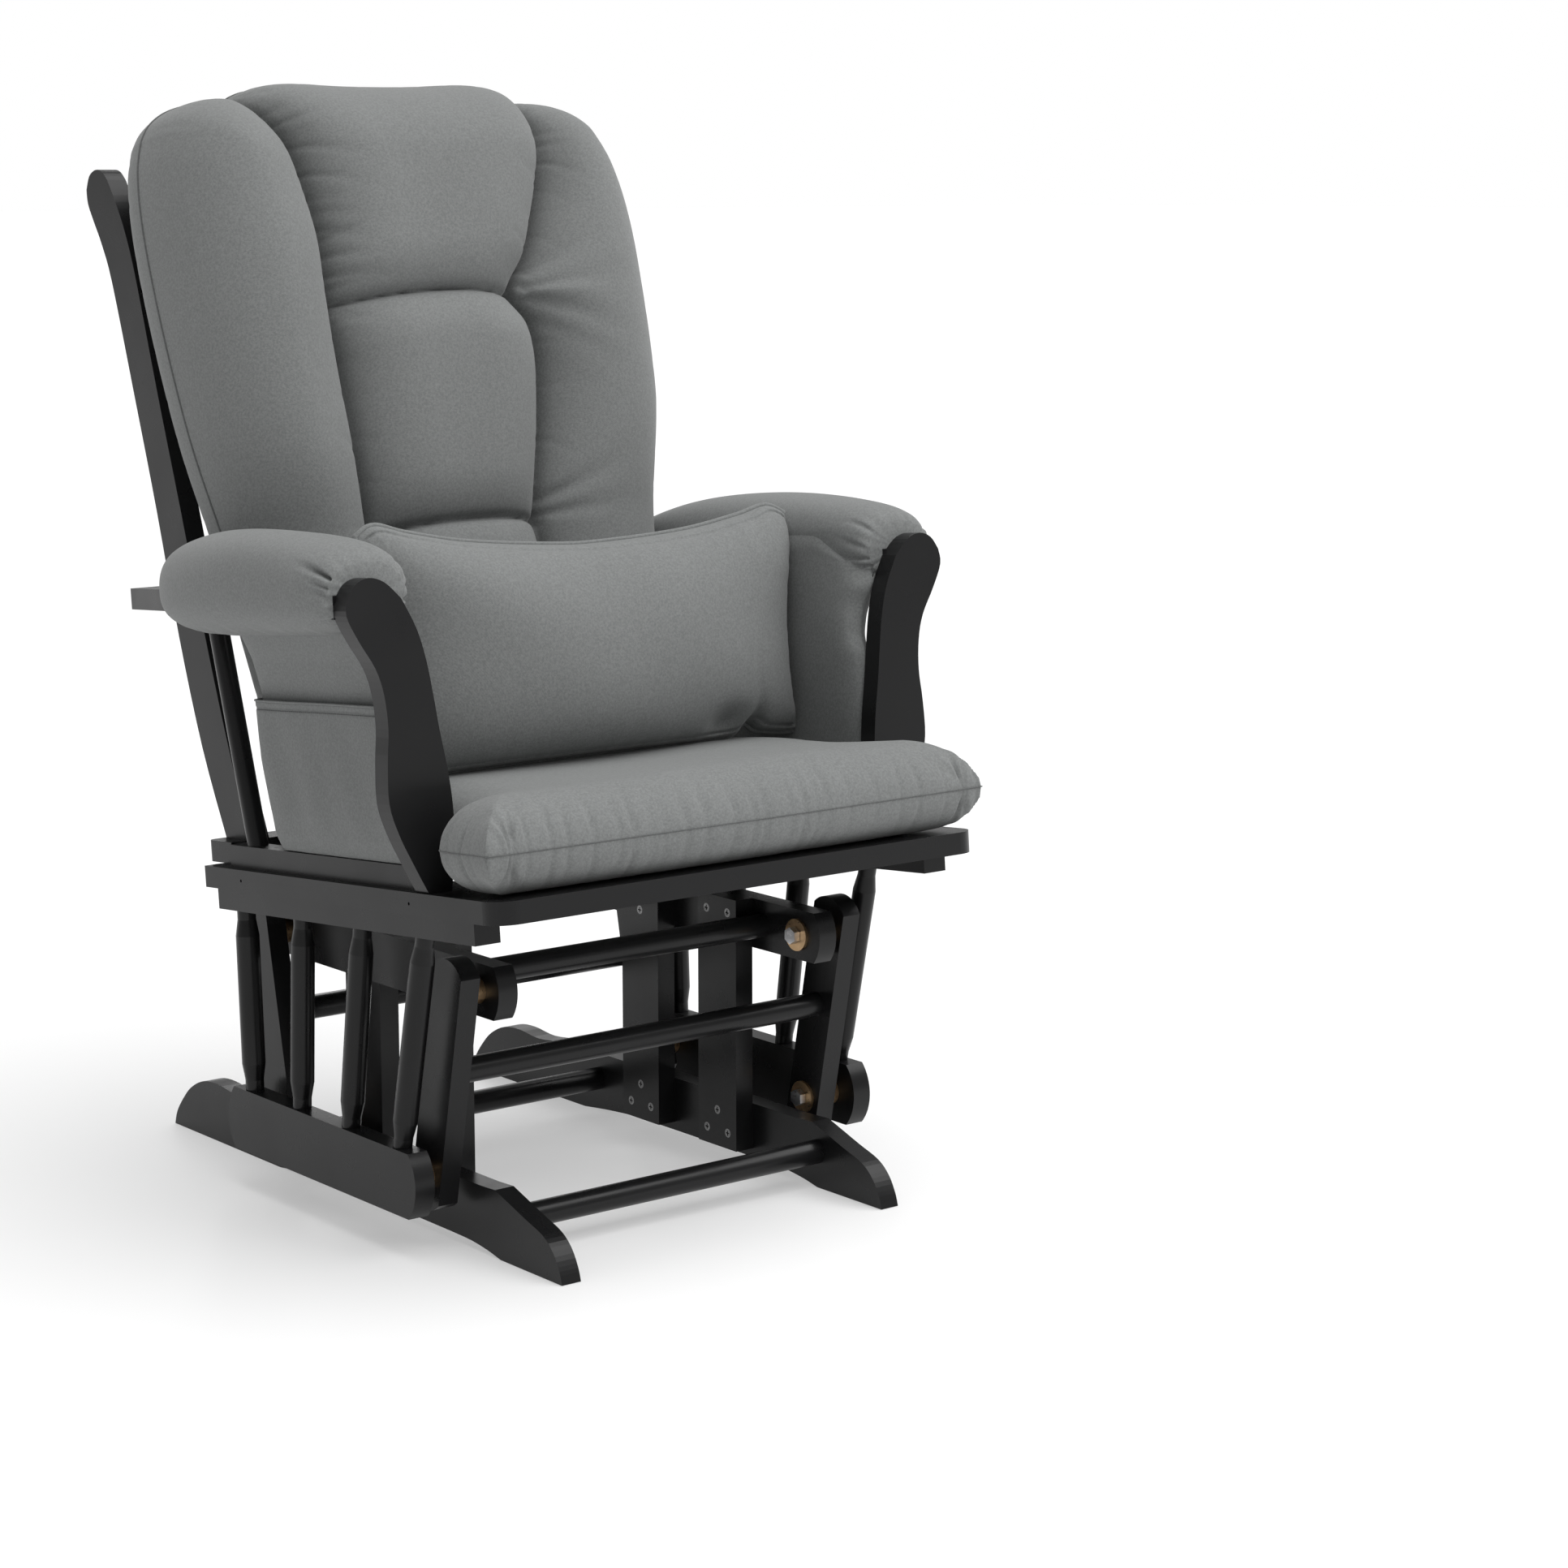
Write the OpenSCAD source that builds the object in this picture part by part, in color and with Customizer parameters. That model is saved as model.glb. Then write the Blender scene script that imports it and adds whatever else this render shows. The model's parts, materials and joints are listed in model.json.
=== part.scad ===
// Glider nursery chair: a padded seat that hangs from four swing arms on a fixed wooden base.
// Millimetres, +Z up, floor at Z = 0, the sitter faces -Y, and "left" is the -X side.
// The seat, arms and back share one plane, the deck, which is tipped back by seat_tilt.

/* [Boards and dowels] */
// Thickness of every board
board_t = 21; // [17:1:25]
// Diameter of the stretchers and tie dowels
dowel_d = 24; // [18:1:28]
// Depth that a dowel or spindle end goes into its board
tenon_len = 11; // [6:1:14]
// Diameter of a dowel's or spindle's end
tenon_d = 15; // [10:1:17]

/* [Base] */
// Distance between the outer faces of the two runners
base_w = 398; // [330:1:460]
// Runner tip in front of the origin
runner_front = 277; // [250:1:300]
// Runner tip behind the origin
runner_rear = 430; // [400:1:500]
// Height of a runner between its ends
runner_h = 64; // [52:1:76]
// Height of the shallow arch under a runner
arch_h = 8; // [4:1:12]
// Front to back width of a post
post_w = 62; // [50:1:72]
// Distance between the centres of the two posts of a side
post_pitch = 130; // [110:1:150]
// Underside of a post above the floor
post_lift = 17; // [12:1:24]
// Height of a hanger rail
hanger_h = 50; // [44:1:58]

/* [Glide linkage] */
// Height of the upper pivots
upper_pivot_z = 250; // [230:1:270]
// Height of the lower pivots
lower_pivot_z = 73; // [62:1:90]
// Distance between the front and rear upper pivots
upper_pitch = 336; // [300:1:360]
// Distance between the front and rear lower pivots
lower_pitch = 266; // [240:1:290]
// Middle of the linkage behind the origin
linkage_y = 20; // [10:1:30]
// Front to back width of a swing arm
arm_w = 46; // [38:1:50]
// Gap beside each swing arm, filled by the bearing's collar
pivot_gap = 15; // [10:1:20]
// Pivot bolt diameter
bolt_d = 10; // [8:1:12]
// Radial clearance of a bolt in its bearing
bolt_fit = 0.05; // [0.02:0.01:0.1]
// Radial slack at the lower rear pivots
open_slack = 2; // [1.8:0.1:2.5]
// Height of a lower side rail
lower_rail_h = 62; // [54:1:70]

/* [Seat deck] */
// Height of the deck's top face above the origin
deck_h = 339; // [330:1:420]
// Angle by which the deck is tipped back
seat_tilt = 5; // [2:0.5:6]
// Distance by which the deck stands out past the cleats
deck_lip = 5; // [0:0.5:12]
// Front edge of the deck in front of the origin
deck_front = 301; // [290:1:330]
// Rear edge of the deck behind the origin
deck_rear = 209; // [200:1:240]
// Radius of the two front corners
deck_corner_r = 24; // [8:1:40]
// Front to back width of the front rail, and width of the side rails
rail_w = 66; // [50:1:70]
// Width of a cleat under the side rails
cleat_w = 27; // [24:1:32]
// Height of a cleat
cleat_h = 21; // [16:1:26]
// Spindle diameter at its middle
spindle_d = 23; // [19:1:26]
// Spindles on each side
spindle_count = 4; // [3:1:5]

/* [Back] */
// Height of the back posts above the deck
back_h = 690; // [600:1:780]
// Distance from the outer face of an arm base rail in to the back post
back_inset = 31; // [26:1:50]
// Back spindles
back_spindle_count = 5; // [4:1:7]
// Height of the crest rail
crest_h = 78; // [60:1:100]

/* [Arms] */
// Top face of an arm board above the deck
arm_h = 270; // [240:1:300]
// Distance by which an arm post leans out past its base rail
arm_reach = 76; // [66:1:90]
// Front to back place of the arm posts, in front of the origin
arm_post_v = 191; // [180:1:210]
// Thickness of the padding over an arm board
arm_pad_t = 50; // [30:1:60]

/* [Cushions] */
// Thickness of the seat cushion
seat_cushion_t = 90; // [60:1:120]
// Gap between the seat cushion and each arm base rail
seat_cushion_gap = 4; // [1:0.5:12]
// Distance by which the seat cushion hangs over the deck in front of each arm
seat_cushion_over = 17; // [0:1:24]
// Thickness of the back cushion
back_cushion_t = 205; // [120:1:215]
// Distance by which the back cushion stands out past each back post
back_cushion_over = 14; // [0:1:24]
// Height of the back cushion's top above the back posts
back_cushion_rise = 76; // [40:1:110]
// Distance by which each end of the lumbar pillow is short of the seat cushion's side
pillow_short = 4; // [2:1:60]
// Height of the lumbar pillow
pillow_h = 225; // [180:1:250]
// Thickness of the lumbar pillow
pillow_t = 124; // [70:1:140]

/* [Hidden] */
$fn = 64;
BLACK = "#262626";
BRASS = "#b08a52";
STEEL = "#c9c9c9";
GREY = "#858786";

// Places across the chair, measured from the middle plane to the left side
runner_x = base_w / 2;
arm_x = runner_x + pivot_gap;
lower_rail_x = arm_x + board_t + pivot_gap;
spindle_x = lower_rail_x + board_t / 2;
post_x = runner_x - board_t;

// Pivots of the front and rear swing arms, as [y, z]
upper_front = [linkage_y - upper_pitch / 2, upper_pivot_z];
upper_rear = [linkage_y + upper_pitch / 2, upper_pivot_z];
lower_front = [linkage_y - lower_pitch / 2, lower_pivot_z];
lower_rear = [linkage_y + lower_pitch / 2, lower_pivot_z];
rail_end = 34;
hanger_top = upper_pivot_z + hanger_h / 2;
lower_rail_top = lower_pivot_z + lower_rail_h / 2;

// Bearings and bolts
cup_d = 18;
flange_d = 32;
flange_t = 3;
collar_d = 26;
face_gap = 0.4;
head_af = 15;
head_t = 7;
thread_len = 15;
insert_d = 14;

// Screws
screw_head_d = 9;
screw_d = 4.5;
screw_len = 2 * board_t - 8;
screw_side = 17;
screw_rise = 21;
cross_w = 1.4;
cross_d = 1.6;

// Stretchers and ties, as [y, z]
tie_drop = 80;
floor_dowel_z = 36;
front_floor_y = -(runner_front - 100);
rear_floor_y = linkage_y + 170;
top_dowel_gap = 4;

// Seat frame
deck_t = board_t;
cleat_x = spindle_x + cleat_w / 2;
deck_w = 2 * (cleat_x + deck_lip);
cleat_front = 255;
cleat_rear = 195;
rear_rail_w = 51;
spindle_low_pitch = 88.7;
spindle_high_pitch = 106.3;
spindle_low_mid = linkage_y + 1;
spindle_high_mid = 2.5;
neck_d = 18;
end_allowance = 4;
spring_count = 5;
spring_w = 3.4;
spring_r = 17;
spring_top = -5;
clip_w = 16;

// Layer on the deck: the back's foot rail and the arm base rails
arm_base_out = deck_w / 2 - 12;
arm_base_w = 24;
arm_base_rear = 178;
foot_rail_half_w = arm_base_out - 10;
foot_rail_front = 193;
foot_rail_rear = 240;

// Back
back_x = arm_base_out - back_inset;
back_spindle_d = 18;
back_k = back_h / 690;
crest_start = 12;

// Arms
arm_out = arm_base_out + arm_reach;
arm_board_t = board_t;
arm_board_front_in = arm_out - 56;
arm_board_rear_out = back_x + 34;
arm_board_rear_v = 336;
arm_spindle_d = 20;
arm_spindle_foot_v = 144;
arm_spindle_lean = 12.6;
arm_pad_rear_v = 212;
arm_pad_side = 22;
arm_pad_under = 17;
cover_rear_v = 100;
soft_gap = 0.4;

// Cushions
seat_cushion_w = 2 * (arm_base_out - arm_base_w - seat_cushion_gap);
seat_cushion_front_w = deck_w + 2 * seat_cushion_over;
seat_cushion_rear = 178;
back_cushion_w = 2 * (back_x + back_cushion_over);
pillow_w = seat_cushion_w - 2 * pillow_short;
pillow_v = -46;
pillow_lean = 8;
pillow_edge = 18;
cover_t = 10;
back_shoulder = 70;
pocket_t = 15;
pocket_wall = 3;
pocket_front_v = -(arm_post_v - 25);
pocket_rear_v = cover_rear_v - 4;
pocket_low = 24;
pocket_top = 165;

// ---- shared functions and modules ----

// One point of a smooth curve through b and c, with neighbours a and d
function curve_point(a, b, c, d, t) =
    0.5 * (2 * b + (c - a) * t + (2 * a - 5 * b + 4 * c - d) * t * t
        + (3 * b - a - 3 * c + d) * t * t * t);

// A smooth open curve through the points p
function curve(p, steps = 6) = [
    for (i = [0:len(p) - 2]) for (s = [0:steps - 1])
        curve_point(p[max(i - 1, 0)], p[i], p[i + 1], p[min(i + 2, len(p) - 1)], s / steps),
    p[len(p) - 1]
];

// Point at share t of the way from a to b
function between(a, b, t) = a + (b - a) * t;

// The left side as modelled, and its mirror image on the right
module side(name) {
    if (name == "right") mirror([1, 0, 0]) children();
    else children();
}

module both_sides() {
    children();
    mirror([1, 0, 0]) children();
}

// The frame of the tipped deck: z = 0 is the deck's top face
module on_deck() {
    translate([0, 0, deck_h]) rotate([-seat_tilt, 0, 0]) children();
}

// A board cut from a [y, z] outline, with its outer face at x = -outer
module side_board(outer, thick) {
    translate([-outer, 0, 0]) rotate([90, 0, 90]) linear_extrude(thick) children();
}

// A round bar along x between -half and half at [y, z]
module cross_bar(half, place, d) {
    translate([-half, place[0], place[1]]) rotate([0, 90, 0]) cylinder(h = 2 * half, d = d);
}

// A dowel between two faces, with a thinner end let into each board
module dowel(half, place, d = dowel_d) {
    cross_bar(half, place, d);
    cross_bar(half + tenon_len, place, tenon_d);
}

// Turns z to point from [y, z] place a to place b
module aim(x, a, b) {
    translate([x, a[0], a[1]]) rotate([-atan2(b[0] - a[0], b[1] - a[1]), 0, 0]) children();
}

// A turned spindle: full in the middle and necked at both ends
module turned(len, d, neck) {
    neck_len = 14;
    swell = 16;
    rotate_extrude() polygon([
        [0, 0], [neck / 2, 0], [neck / 2, neck_len], [d / 2, neck_len + swell],
        [d / 2, len - neck_len - swell], [neck / 2, len - neck_len], [neck / 2, len], [0, len],
    ]);
}

// ---- base ----

module runner_outline() {
    top = curve([
        [runner_rear, 0], [runner_rear - 5, 14], [runner_rear - 18, 30], [runner_rear - 36, 46],
        [runner_rear - 62, runner_h - 6], [runner_rear - 92, runner_h - 3],
        [runner_rear - 130, runner_h - 6], [runner_rear - 172, runner_h - 1],
    ], 4);
    nose = curve([
        [-runner_front + 106, runner_h + 1], [-runner_front + 88, runner_h - 5],
        [-runner_front + 58, runner_h - 15], [-runner_front + 30, runner_h - 24],
        [-runner_front + 14, runner_h - 36], [-runner_front + 4, runner_h - 52],
        [-runner_front, 0],
    ], 4);
    arch = curve([
        [-runner_front + 98, 0], [-runner_front + 130, arch_h * 0.7], [-runner_front + 180, arch_h],
        [runner_rear - 330, arch_h], [runner_rear - 270, arch_h * 0.7], [runner_rear - 215, 0],
    ], 4);
    polygon(concat(top, [[runner_rear - 200, runner_h]], [[-runner_front + 130, runner_h]], nose, arch));
}

module runner() {
    difference() {
        side_board(runner_x, board_t) runner_outline();
        for (y = [front_floor_y, rear_floor_y])
            cross_bar(runner_x - board_t + tenon_len, [y, floor_dowel_z], tenon_d);
        post_screw_holes();
    }
}

// Centres of the posts
post_y = [linkage_y - post_pitch / 2, linkage_y + post_pitch / 2];

// Triangles of screws at the foot and the head of each post, as [y, z]
function triangle(y, z, way) = [[y, z + way * screw_rise / 2],
    [y - screw_side, z - way * screw_rise / 2], [y + screw_side, z - way * screw_rise / 2]];
foot_screw_z = 44;
head_screw_z = upper_pivot_z;
post_screws = [for (y = post_y) each concat(triangle(y, foot_screw_z, 1),
    triangle(y, head_screw_z, -1))];

module screw_shape(d, head) {
    rotate([0, -90, 0]) {
        translate([0, 0, -0.01]) cylinder(h = 2.61, d1 = head, d2 = d);
        cylinder(h = screw_len, d = d);
    }
}

module post_screw_holes() {
    for (p = post_screws) translate([-(post_x - board_t), p[0], p[1]]) screw_shape(screw_d, screw_head_d);
}

module base_post(y) {
    difference() {
        translate([-post_x, y - post_w / 2, post_lift])
            cube([board_t, post_w, hanger_top - post_lift]);
        post_screw_holes();
    }
}

module base_screws() {
    color(STEEL) both_sides() for (p = post_screws)
        translate([-(post_x - board_t), p[0], p[1]]) difference() {
            screw_shape(screw_d, screw_head_d);
            for (turn = [0, 90]) rotate([turn, 0, 0])
                translate([-cross_d, -cross_w / 2, -2.6]) cube([cross_d + 1, cross_w, 5.2]);
        }
}

// A rail with both ends cut to an arc
module rail_outline(mid, pitch, h) {
    r = h / 2 + 14;
    intersection() {
        translate([mid[0] - pitch / 2 - rail_end, mid[1] - h / 2]) square([pitch + 2 * rail_end, h]);
        rail_ends(mid, pitch, r);
    }
}

module rail_ends(mid, pitch, r) {
    translate([mid[0] - pitch / 2 - rail_end + r, mid[1]]) circle(r);
    translate([mid[0] + pitch / 2 + rail_end - r, mid[1]]) circle(r);
    translate([mid[0] - pitch / 2 - rail_end + r, mid[1] - r])
        square([pitch + 2 * rail_end - 2 * r, 2 * r]);
}

module hanger_rail() {
    difference() {
        side_board(runner_x, board_t)
            rail_outline([linkage_y, upper_pivot_z], upper_pitch, hanger_h);
        for (p = [upper_front, upper_rear]) cross_bar(runner_x + 1, p, cup_d);
        for (p = top_dowels) cross_bar(runner_x - board_t + tenon_len, p, tenon_d);
        post_screw_holes();
    }
}

top_dowels = [
    [post_y[0] - post_w / 2 - top_dowel_gap - dowel_d / 2, upper_pivot_z],
    [post_y[1] + post_w / 2 + top_dowel_gap + dowel_d / 2, upper_pivot_z],
];

// A flanged bearing whose collar keeps two boards apart; inner flange at x = 0, collar towards -x
module bearing(bore) {
    rotate([0, -90, 0]) rotate_extrude() polygon([
        [bore / 2, -flange_t], [flange_d / 2, -flange_t], [flange_d / 2, 0], [cup_d / 2, 0],
        [cup_d / 2, board_t], [collar_d / 2, board_t], [collar_d / 2, board_t + pivot_gap - face_gap],
        [bore / 2, board_t + pivot_gap - face_gap],
    ]);
}

// A hex bolt that passes one board's bearing and screws into the next board
module pivot_bolt() {
    tip = board_t + pivot_gap + thread_len;
    head_face = flange_t + face_gap;
    translate([head_face, 0, 0]) rotate([0, 90, 0])
        cylinder(h = head_t, d = head_af / cos(30), $fn = 6);
    translate([-tip, 0, 0]) rotate([0, 90, 0]) cylinder(h = tip + head_face + head_t / 2, d = bolt_d);
}

module thread_insert() {
    rotate([0, -90, 0]) difference() {
        cylinder(h = thread_len, d = insert_d);
        translate([0, 0, -1]) cylinder(h = thread_len + 1, d = bolt_d);
    }
}

module at_pivot(x, p) {
    translate([-x, p[0], p[1]]) children();
}

// ---- swing arms ----

module swing_arm_outline(up, low) {
    lean = atan2(up[0] - low[0], up[1] - low[1]);
    len = norm(up - low);
    reach = len / 2 + 34;
    translate((up + low) / 2) rotate(-lean) intersection() {
        square([arm_w, 2 * reach], center = true);
        union() {
            for (s = [-1, 1]) translate([0, s * (reach - arm_w * 0.62)]) circle(arm_w * 0.62);
            square([arm_w * 1.3, 2 * (reach - arm_w * 0.62)], center = true);
        }
    }
}

function tie_place(up, low) = between(up, low, tie_drop / norm(up - low));

module swing_arm(up, low) {
    color(BLACK) difference() {
        side_board(arm_x + board_t, board_t) swing_arm_outline(up, low);
        at_pivot(arm_x + thread_len, up) rotate([0, 90, 0]) cylinder(h = thread_len + 1, d = insert_d);
        cross_bar(arm_x + board_t + 1, low, cup_d);
        cross_bar(arm_x + tenon_len, tie_place(up, low), tenon_d);
    }
}

// ---- seat undercarriage ----

spindle_places = [for (i = [0:spindle_count - 1]) i - (spindle_count - 1) / 2];
cleat_bottom = -deck_t - cleat_h;
spindle_share = 3 / (spindle_count - 1);
function deck_z(y, w) = deck_h - y * tan(seat_tilt) + w / cos(seat_tilt);
function spindle_low(s) = [spindle_low_mid + s * spindle_low_pitch * spindle_share, lower_rail_top];
function spindle_high(s) = let (y = spindle_high_mid + s * spindle_high_pitch * spindle_share)
    [y, deck_z(y, cleat_bottom)];

module spindle_tenons() {
    for (s = spindle_places) aim(-spindle_x, spindle_low(s), spindle_high(s))
        translate([0, 0, -tenon_len])
            cylinder(h = norm(spindle_high(s) - spindle_low(s)) + 2 * tenon_len, d = tenon_d);
}

module spindles() {
    slab = 60;
    color(BLACK) {
        difference() {
            for (s = spindle_places) aim(-spindle_x, spindle_low(s), spindle_high(s))
                translate([0, 0, -end_allowance])
                    turned(norm(spindle_high(s) - spindle_low(s)) + 2 * end_allowance, spindle_d, neck_d);
            translate([-spindle_x - slab / 2, -deck_front, lower_rail_top - slab])
                cube([slab, deck_front + deck_rear, slab]);
            on_deck() translate([-spindle_x - slab / 2, -deck_front, cleat_bottom])
                cube([slab, deck_front + deck_rear, slab]);
        }
        spindle_tenons();
    }
}

module lower_rail() {
    color(BLACK) difference() {
        side_board(lower_rail_x + board_t, board_t)
            rail_outline([linkage_y, lower_pivot_z], lower_pitch + 4, lower_rail_h);
        for (p = [lower_front, lower_rear]) at_pivot(lower_rail_x + thread_len, p)
            rotate([0, 90, 0]) cylinder(h = thread_len + 1, d = insert_d);
        spindle_tenons();
    }
}

module cleat() {
    color(BLACK) difference() {
        on_deck() translate([-cleat_x, -cleat_front, cleat_bottom])
            cube([cleat_w, cleat_front + cleat_rear, cleat_h]);
        spindle_tenons();
    }
}

// ---- deck ----

module seat_front_rail() {
    color(BLACK) on_deck() translate([0, 0, -deck_t]) linear_extrude(deck_t) union() {
        translate([-deck_w / 2, -deck_front + deck_corner_r])
            square([deck_w, rail_w - deck_corner_r]);
        translate([-deck_w / 2 + deck_corner_r, -deck_front])
            square([deck_w - 2 * deck_corner_r, deck_corner_r]);
        for (s = [-1, 1]) translate([s * (deck_w / 2 - deck_corner_r), -deck_front + deck_corner_r])
            circle(deck_corner_r);
    }
}

module seat_rear_rail() {
    color(BLACK) on_deck() translate([-deck_w / 2, deck_rear - rear_rail_w, -deck_t])
        cube([deck_w, rear_rail_w, deck_t]);
}

module seat_side_rail() {
    front = -deck_front + rail_w;
    rear = deck_rear - rear_rail_w;
    color(BLACK) on_deck() difference() {
        translate([-deck_w / 2, front, -deck_t]) cube([rail_w, rear - front, deck_t]);
        for (v = [front + 76, rear - 18]) translate([-deck_w / 2 - 1, v, -deck_t / 2])
            rotate([0, 90, 0]) cylinder(h = 9, d = 3);
    }
}

// A flat zigzag spring in the deck's plane, from front rail to rear rail
module zigzag(length) {
    turns = 9;
    pitch = length / turns;
    r = pitch / 2;
    for (i = [0:turns - 1]) {
        s = i % 2 == 0 ? 1 : -1;
        translate([s * spring_r / 2, (i + 0.5) * pitch]) intersection() {
            difference() {
                circle(r + spring_w / 2);
                circle(r - spring_w / 2);
            }
            translate([s > 0 ? 0 : -2 * r, -2 * r]) square([2 * r, 4 * r]);
        }
        if (i < turns - 1) translate([-spring_r / 2, (i + 1) * pitch - spring_w / 2])
            square([spring_r, spring_w]);
    }
}

module seat_springs() {
    front = -deck_front + rail_w;
    rear = deck_rear - rear_rail_w;
    inner = deck_w - 2 * rail_w;
    color(STEEL) on_deck() for (i = [1:spring_count])
        translate([inner * (i / (spring_count + 1) - 0.5), 0, 0]) {
        translate([0, front + spring_w, spring_top - spring_w]) linear_extrude(spring_w)
            zigzag(rear - front - 2 * spring_w);
        for (v = [front, rear - 3]) translate([-clip_w / 2 - 4, v, -deck_t + 3])
            cube([clip_w + 8, 3, deck_t - 6]);
    }
}

module back_foot_rail() {
    r = 9;
    color(BLACK) on_deck() difference() {
        linear_extrude(board_t) union() {
            translate([-foot_rail_half_w, foot_rail_front])
                square([2 * foot_rail_half_w, foot_rail_rear - foot_rail_front - r]);
            translate([-foot_rail_half_w + r, foot_rail_front])
                square([2 * (foot_rail_half_w - r), foot_rail_rear - foot_rail_front]);
            for (s = [-1, 1]) translate([s * (foot_rail_half_w - r), foot_rail_rear - r]) circle(r);
        }
        back_spindle_tenons();
    }
}

arm_screw_v = [-104, 110];

module arm_base_rail() {
    color(BLACK) on_deck() difference() {
        translate([-arm_base_out, -arm_post_v + board_t, 0])
            cube([arm_base_w, arm_base_rear + arm_post_v - board_t, board_t]);
        for (v = arm_screw_v) translate([-arm_base_out + arm_base_w / 2, v, board_t])
            rotate([0, -90, 0]) screw_shape(screw_d, screw_head_d);
        translate([-arm_spindle_x, 0, 0]) arm_spindle_tenon();
    }
}

module arm_base_screws() {
    color(STEEL) both_sides() on_deck() for (v = arm_screw_v)
        translate([-arm_base_out + arm_base_w / 2, v, board_t]) difference() {
            rotate([0, -90, 0]) intersection() {
                screw_shape(screw_d, screw_head_d);
                translate([-board_t, -20, -20]) cube([board_t + 1, 40, 40]);
            }
            for (turn = [0, 90]) rotate(turn) translate([-2.6, -cross_w / 2, -cross_d])
                cube([5.2, cross_w, cross_d + 1]);
        }
}

// ---- back ----

// Front and rear edges of a back post, as [v, w] on the deck
post_front = [[192, board_t], [222, 110 * back_k], [253, 220 * back_k], [284, 345 * back_k],
    [314, 462 * back_k], [341, 575 * back_k], [356, 622 * back_k], [372, 655 * back_k],
    [386, 678 * back_k]];
post_cap = [[386, 678 * back_k], [396, 687 * back_k], [409, back_h], [423, 685 * back_k],
    [431, 672 * back_k]];
post_rear = [[431, 672 * back_k], [430, 658 * back_k], [421, 640 * back_k], [407, 615 * back_k],
    [391, 575 * back_k], [362, 462 * back_k], [333, 345 * back_k], [306, 220 * back_k],
    [275, 110 * back_k], [239, board_t]];

module back_post() {
    color(BLACK) on_deck() side_board(back_x, board_t)
        polygon(concat(curve(post_front, 4), curve(post_cap, 4), curve(post_rear, 4)));
}

// The crest rail's middle plane follows the top of the posts
crest_low = between(post_front[5], post_rear[4], 0.5);
crest_high = between(post_front[8], post_rear[1], 0.5);
crest_turn = atan2(crest_high[0] - crest_low[0], crest_high[1] - crest_low[1]);

module crest_rail() {
    color(BLACK) on_deck() difference() {
        translate([-(back_x - board_t), crest_low[0], crest_low[1]]) rotate([-crest_turn, 0, 0])
            translate([0, -board_t / 2, crest_start]) cube([2 * (back_x - board_t), board_t, crest_h]);
        back_spindle_tenons();
    }
}

back_spindle_foot = [216, board_t];
back_spindle_head = crest_low + crest_start * [sin(crest_turn), cos(crest_turn)];
back_spindle_pitch = 2 * (back_x - board_t) / (back_spindle_count + 1);
back_spindle_places = [for (i = [1:back_spindle_count])
    (i - (back_spindle_count + 1) / 2) * back_spindle_pitch];
back_tenon_d = 11;
back_spindle_inset = 2.6;

module back_spindle_tenons() {
    for (x = back_spindle_places) aim(x, back_spindle_foot, back_spindle_head)
        translate([0, 0, -tenon_len])
            cylinder(h = norm(back_spindle_head - back_spindle_foot) + 2 * tenon_len, d = back_tenon_d);
}

module back_spindles() {
    len = norm(back_spindle_head - back_spindle_foot);
    color(BLACK) on_deck() {
        for (x = back_spindle_places) aim(x, back_spindle_foot, back_spindle_head)
            translate([0, 0, back_spindle_inset])
                cylinder(h = len - 2 * back_spindle_inset, d = back_spindle_d);
        back_spindle_tenons();
    }
}

// ---- arms ----

arm_k = arm_h / 270;

// Outline of an arm post as [x, w] seen from the front, on the left side
post_outer_edge = [[-(arm_out - 66), 0], [-(arm_out - 51), 30], [-(arm_out - 39), 56],
    [-(arm_out - 31), 84], [-(arm_out - 32), 120 * arm_k], [-(arm_out - 35), 150 * arm_k],
    [-(arm_out - 33), 180 * arm_k], [-(arm_out - 26), 204 * arm_k], [-(arm_out - 11), 229 * arm_k],
    [-arm_out, 252 * arm_k], [-(arm_out - 2), 267 * arm_k]];
post_head = [[-(arm_out - 2), 267 * arm_k], [-(arm_out - 11), 279 * arm_k],
    [-(arm_out - 25), 284 * arm_k], [-(arm_out - 41), 279 * arm_k], [-(arm_out - 57), 264 * arm_k]];
post_inner_edge = [[-(arm_out - 57), 264 * arm_k], [-(arm_out - 71), 236 * arm_k],
    [-(arm_out - 79), 207 * arm_k], [-(arm_out - 84), 175 * arm_k], [-(arm_out - 88), 145 * arm_k],
    [-(arm_out - 94), 108 * arm_k], [-(arm_out - 97), 74], [-(arm_out - 96), 36],
    [-(arm_out - 90), 0]];

module arm_post() {
    color(BLACK) on_deck() translate([0, -arm_post_v + board_t, 0]) rotate([90, 0, 0])
        linear_extrude(board_t)
            polygon(concat(curve(post_outer_edge, 4), curve(post_head, 4), curve(post_inner_edge, 4)));
}

arm_spindle_x = arm_base_out - arm_base_w / 2;
arm_spindle_foot = [arm_spindle_foot_v, board_t];
arm_spindle_top = arm_h - arm_board_t;
arm_spindle_head = [arm_spindle_foot_v + (arm_spindle_top - board_t) * tan(arm_spindle_lean),
    arm_spindle_top];

module arm_spindle_tenon() {
    aim(0, arm_spindle_foot, arm_spindle_head) translate([0, 0, -tenon_len])
        cylinder(h = norm(arm_spindle_head - arm_spindle_foot) + 2 * tenon_len, d = tenon_d);
}

module arm_spindle() {
    difference() {
        aim(0, arm_spindle_foot, arm_spindle_head) translate([0, 0, -end_allowance])
            cylinder(h = norm(arm_spindle_head - arm_spindle_foot) + 2 * end_allowance, d = arm_spindle_d);
        for (w = [board_t - arm_spindle_d, arm_spindle_top])
            translate([-arm_spindle_d, 0, w]) cube([2 * arm_spindle_d, deck_rear + 50, arm_spindle_d]);
    }
    arm_spindle_tenon();
}

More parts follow.
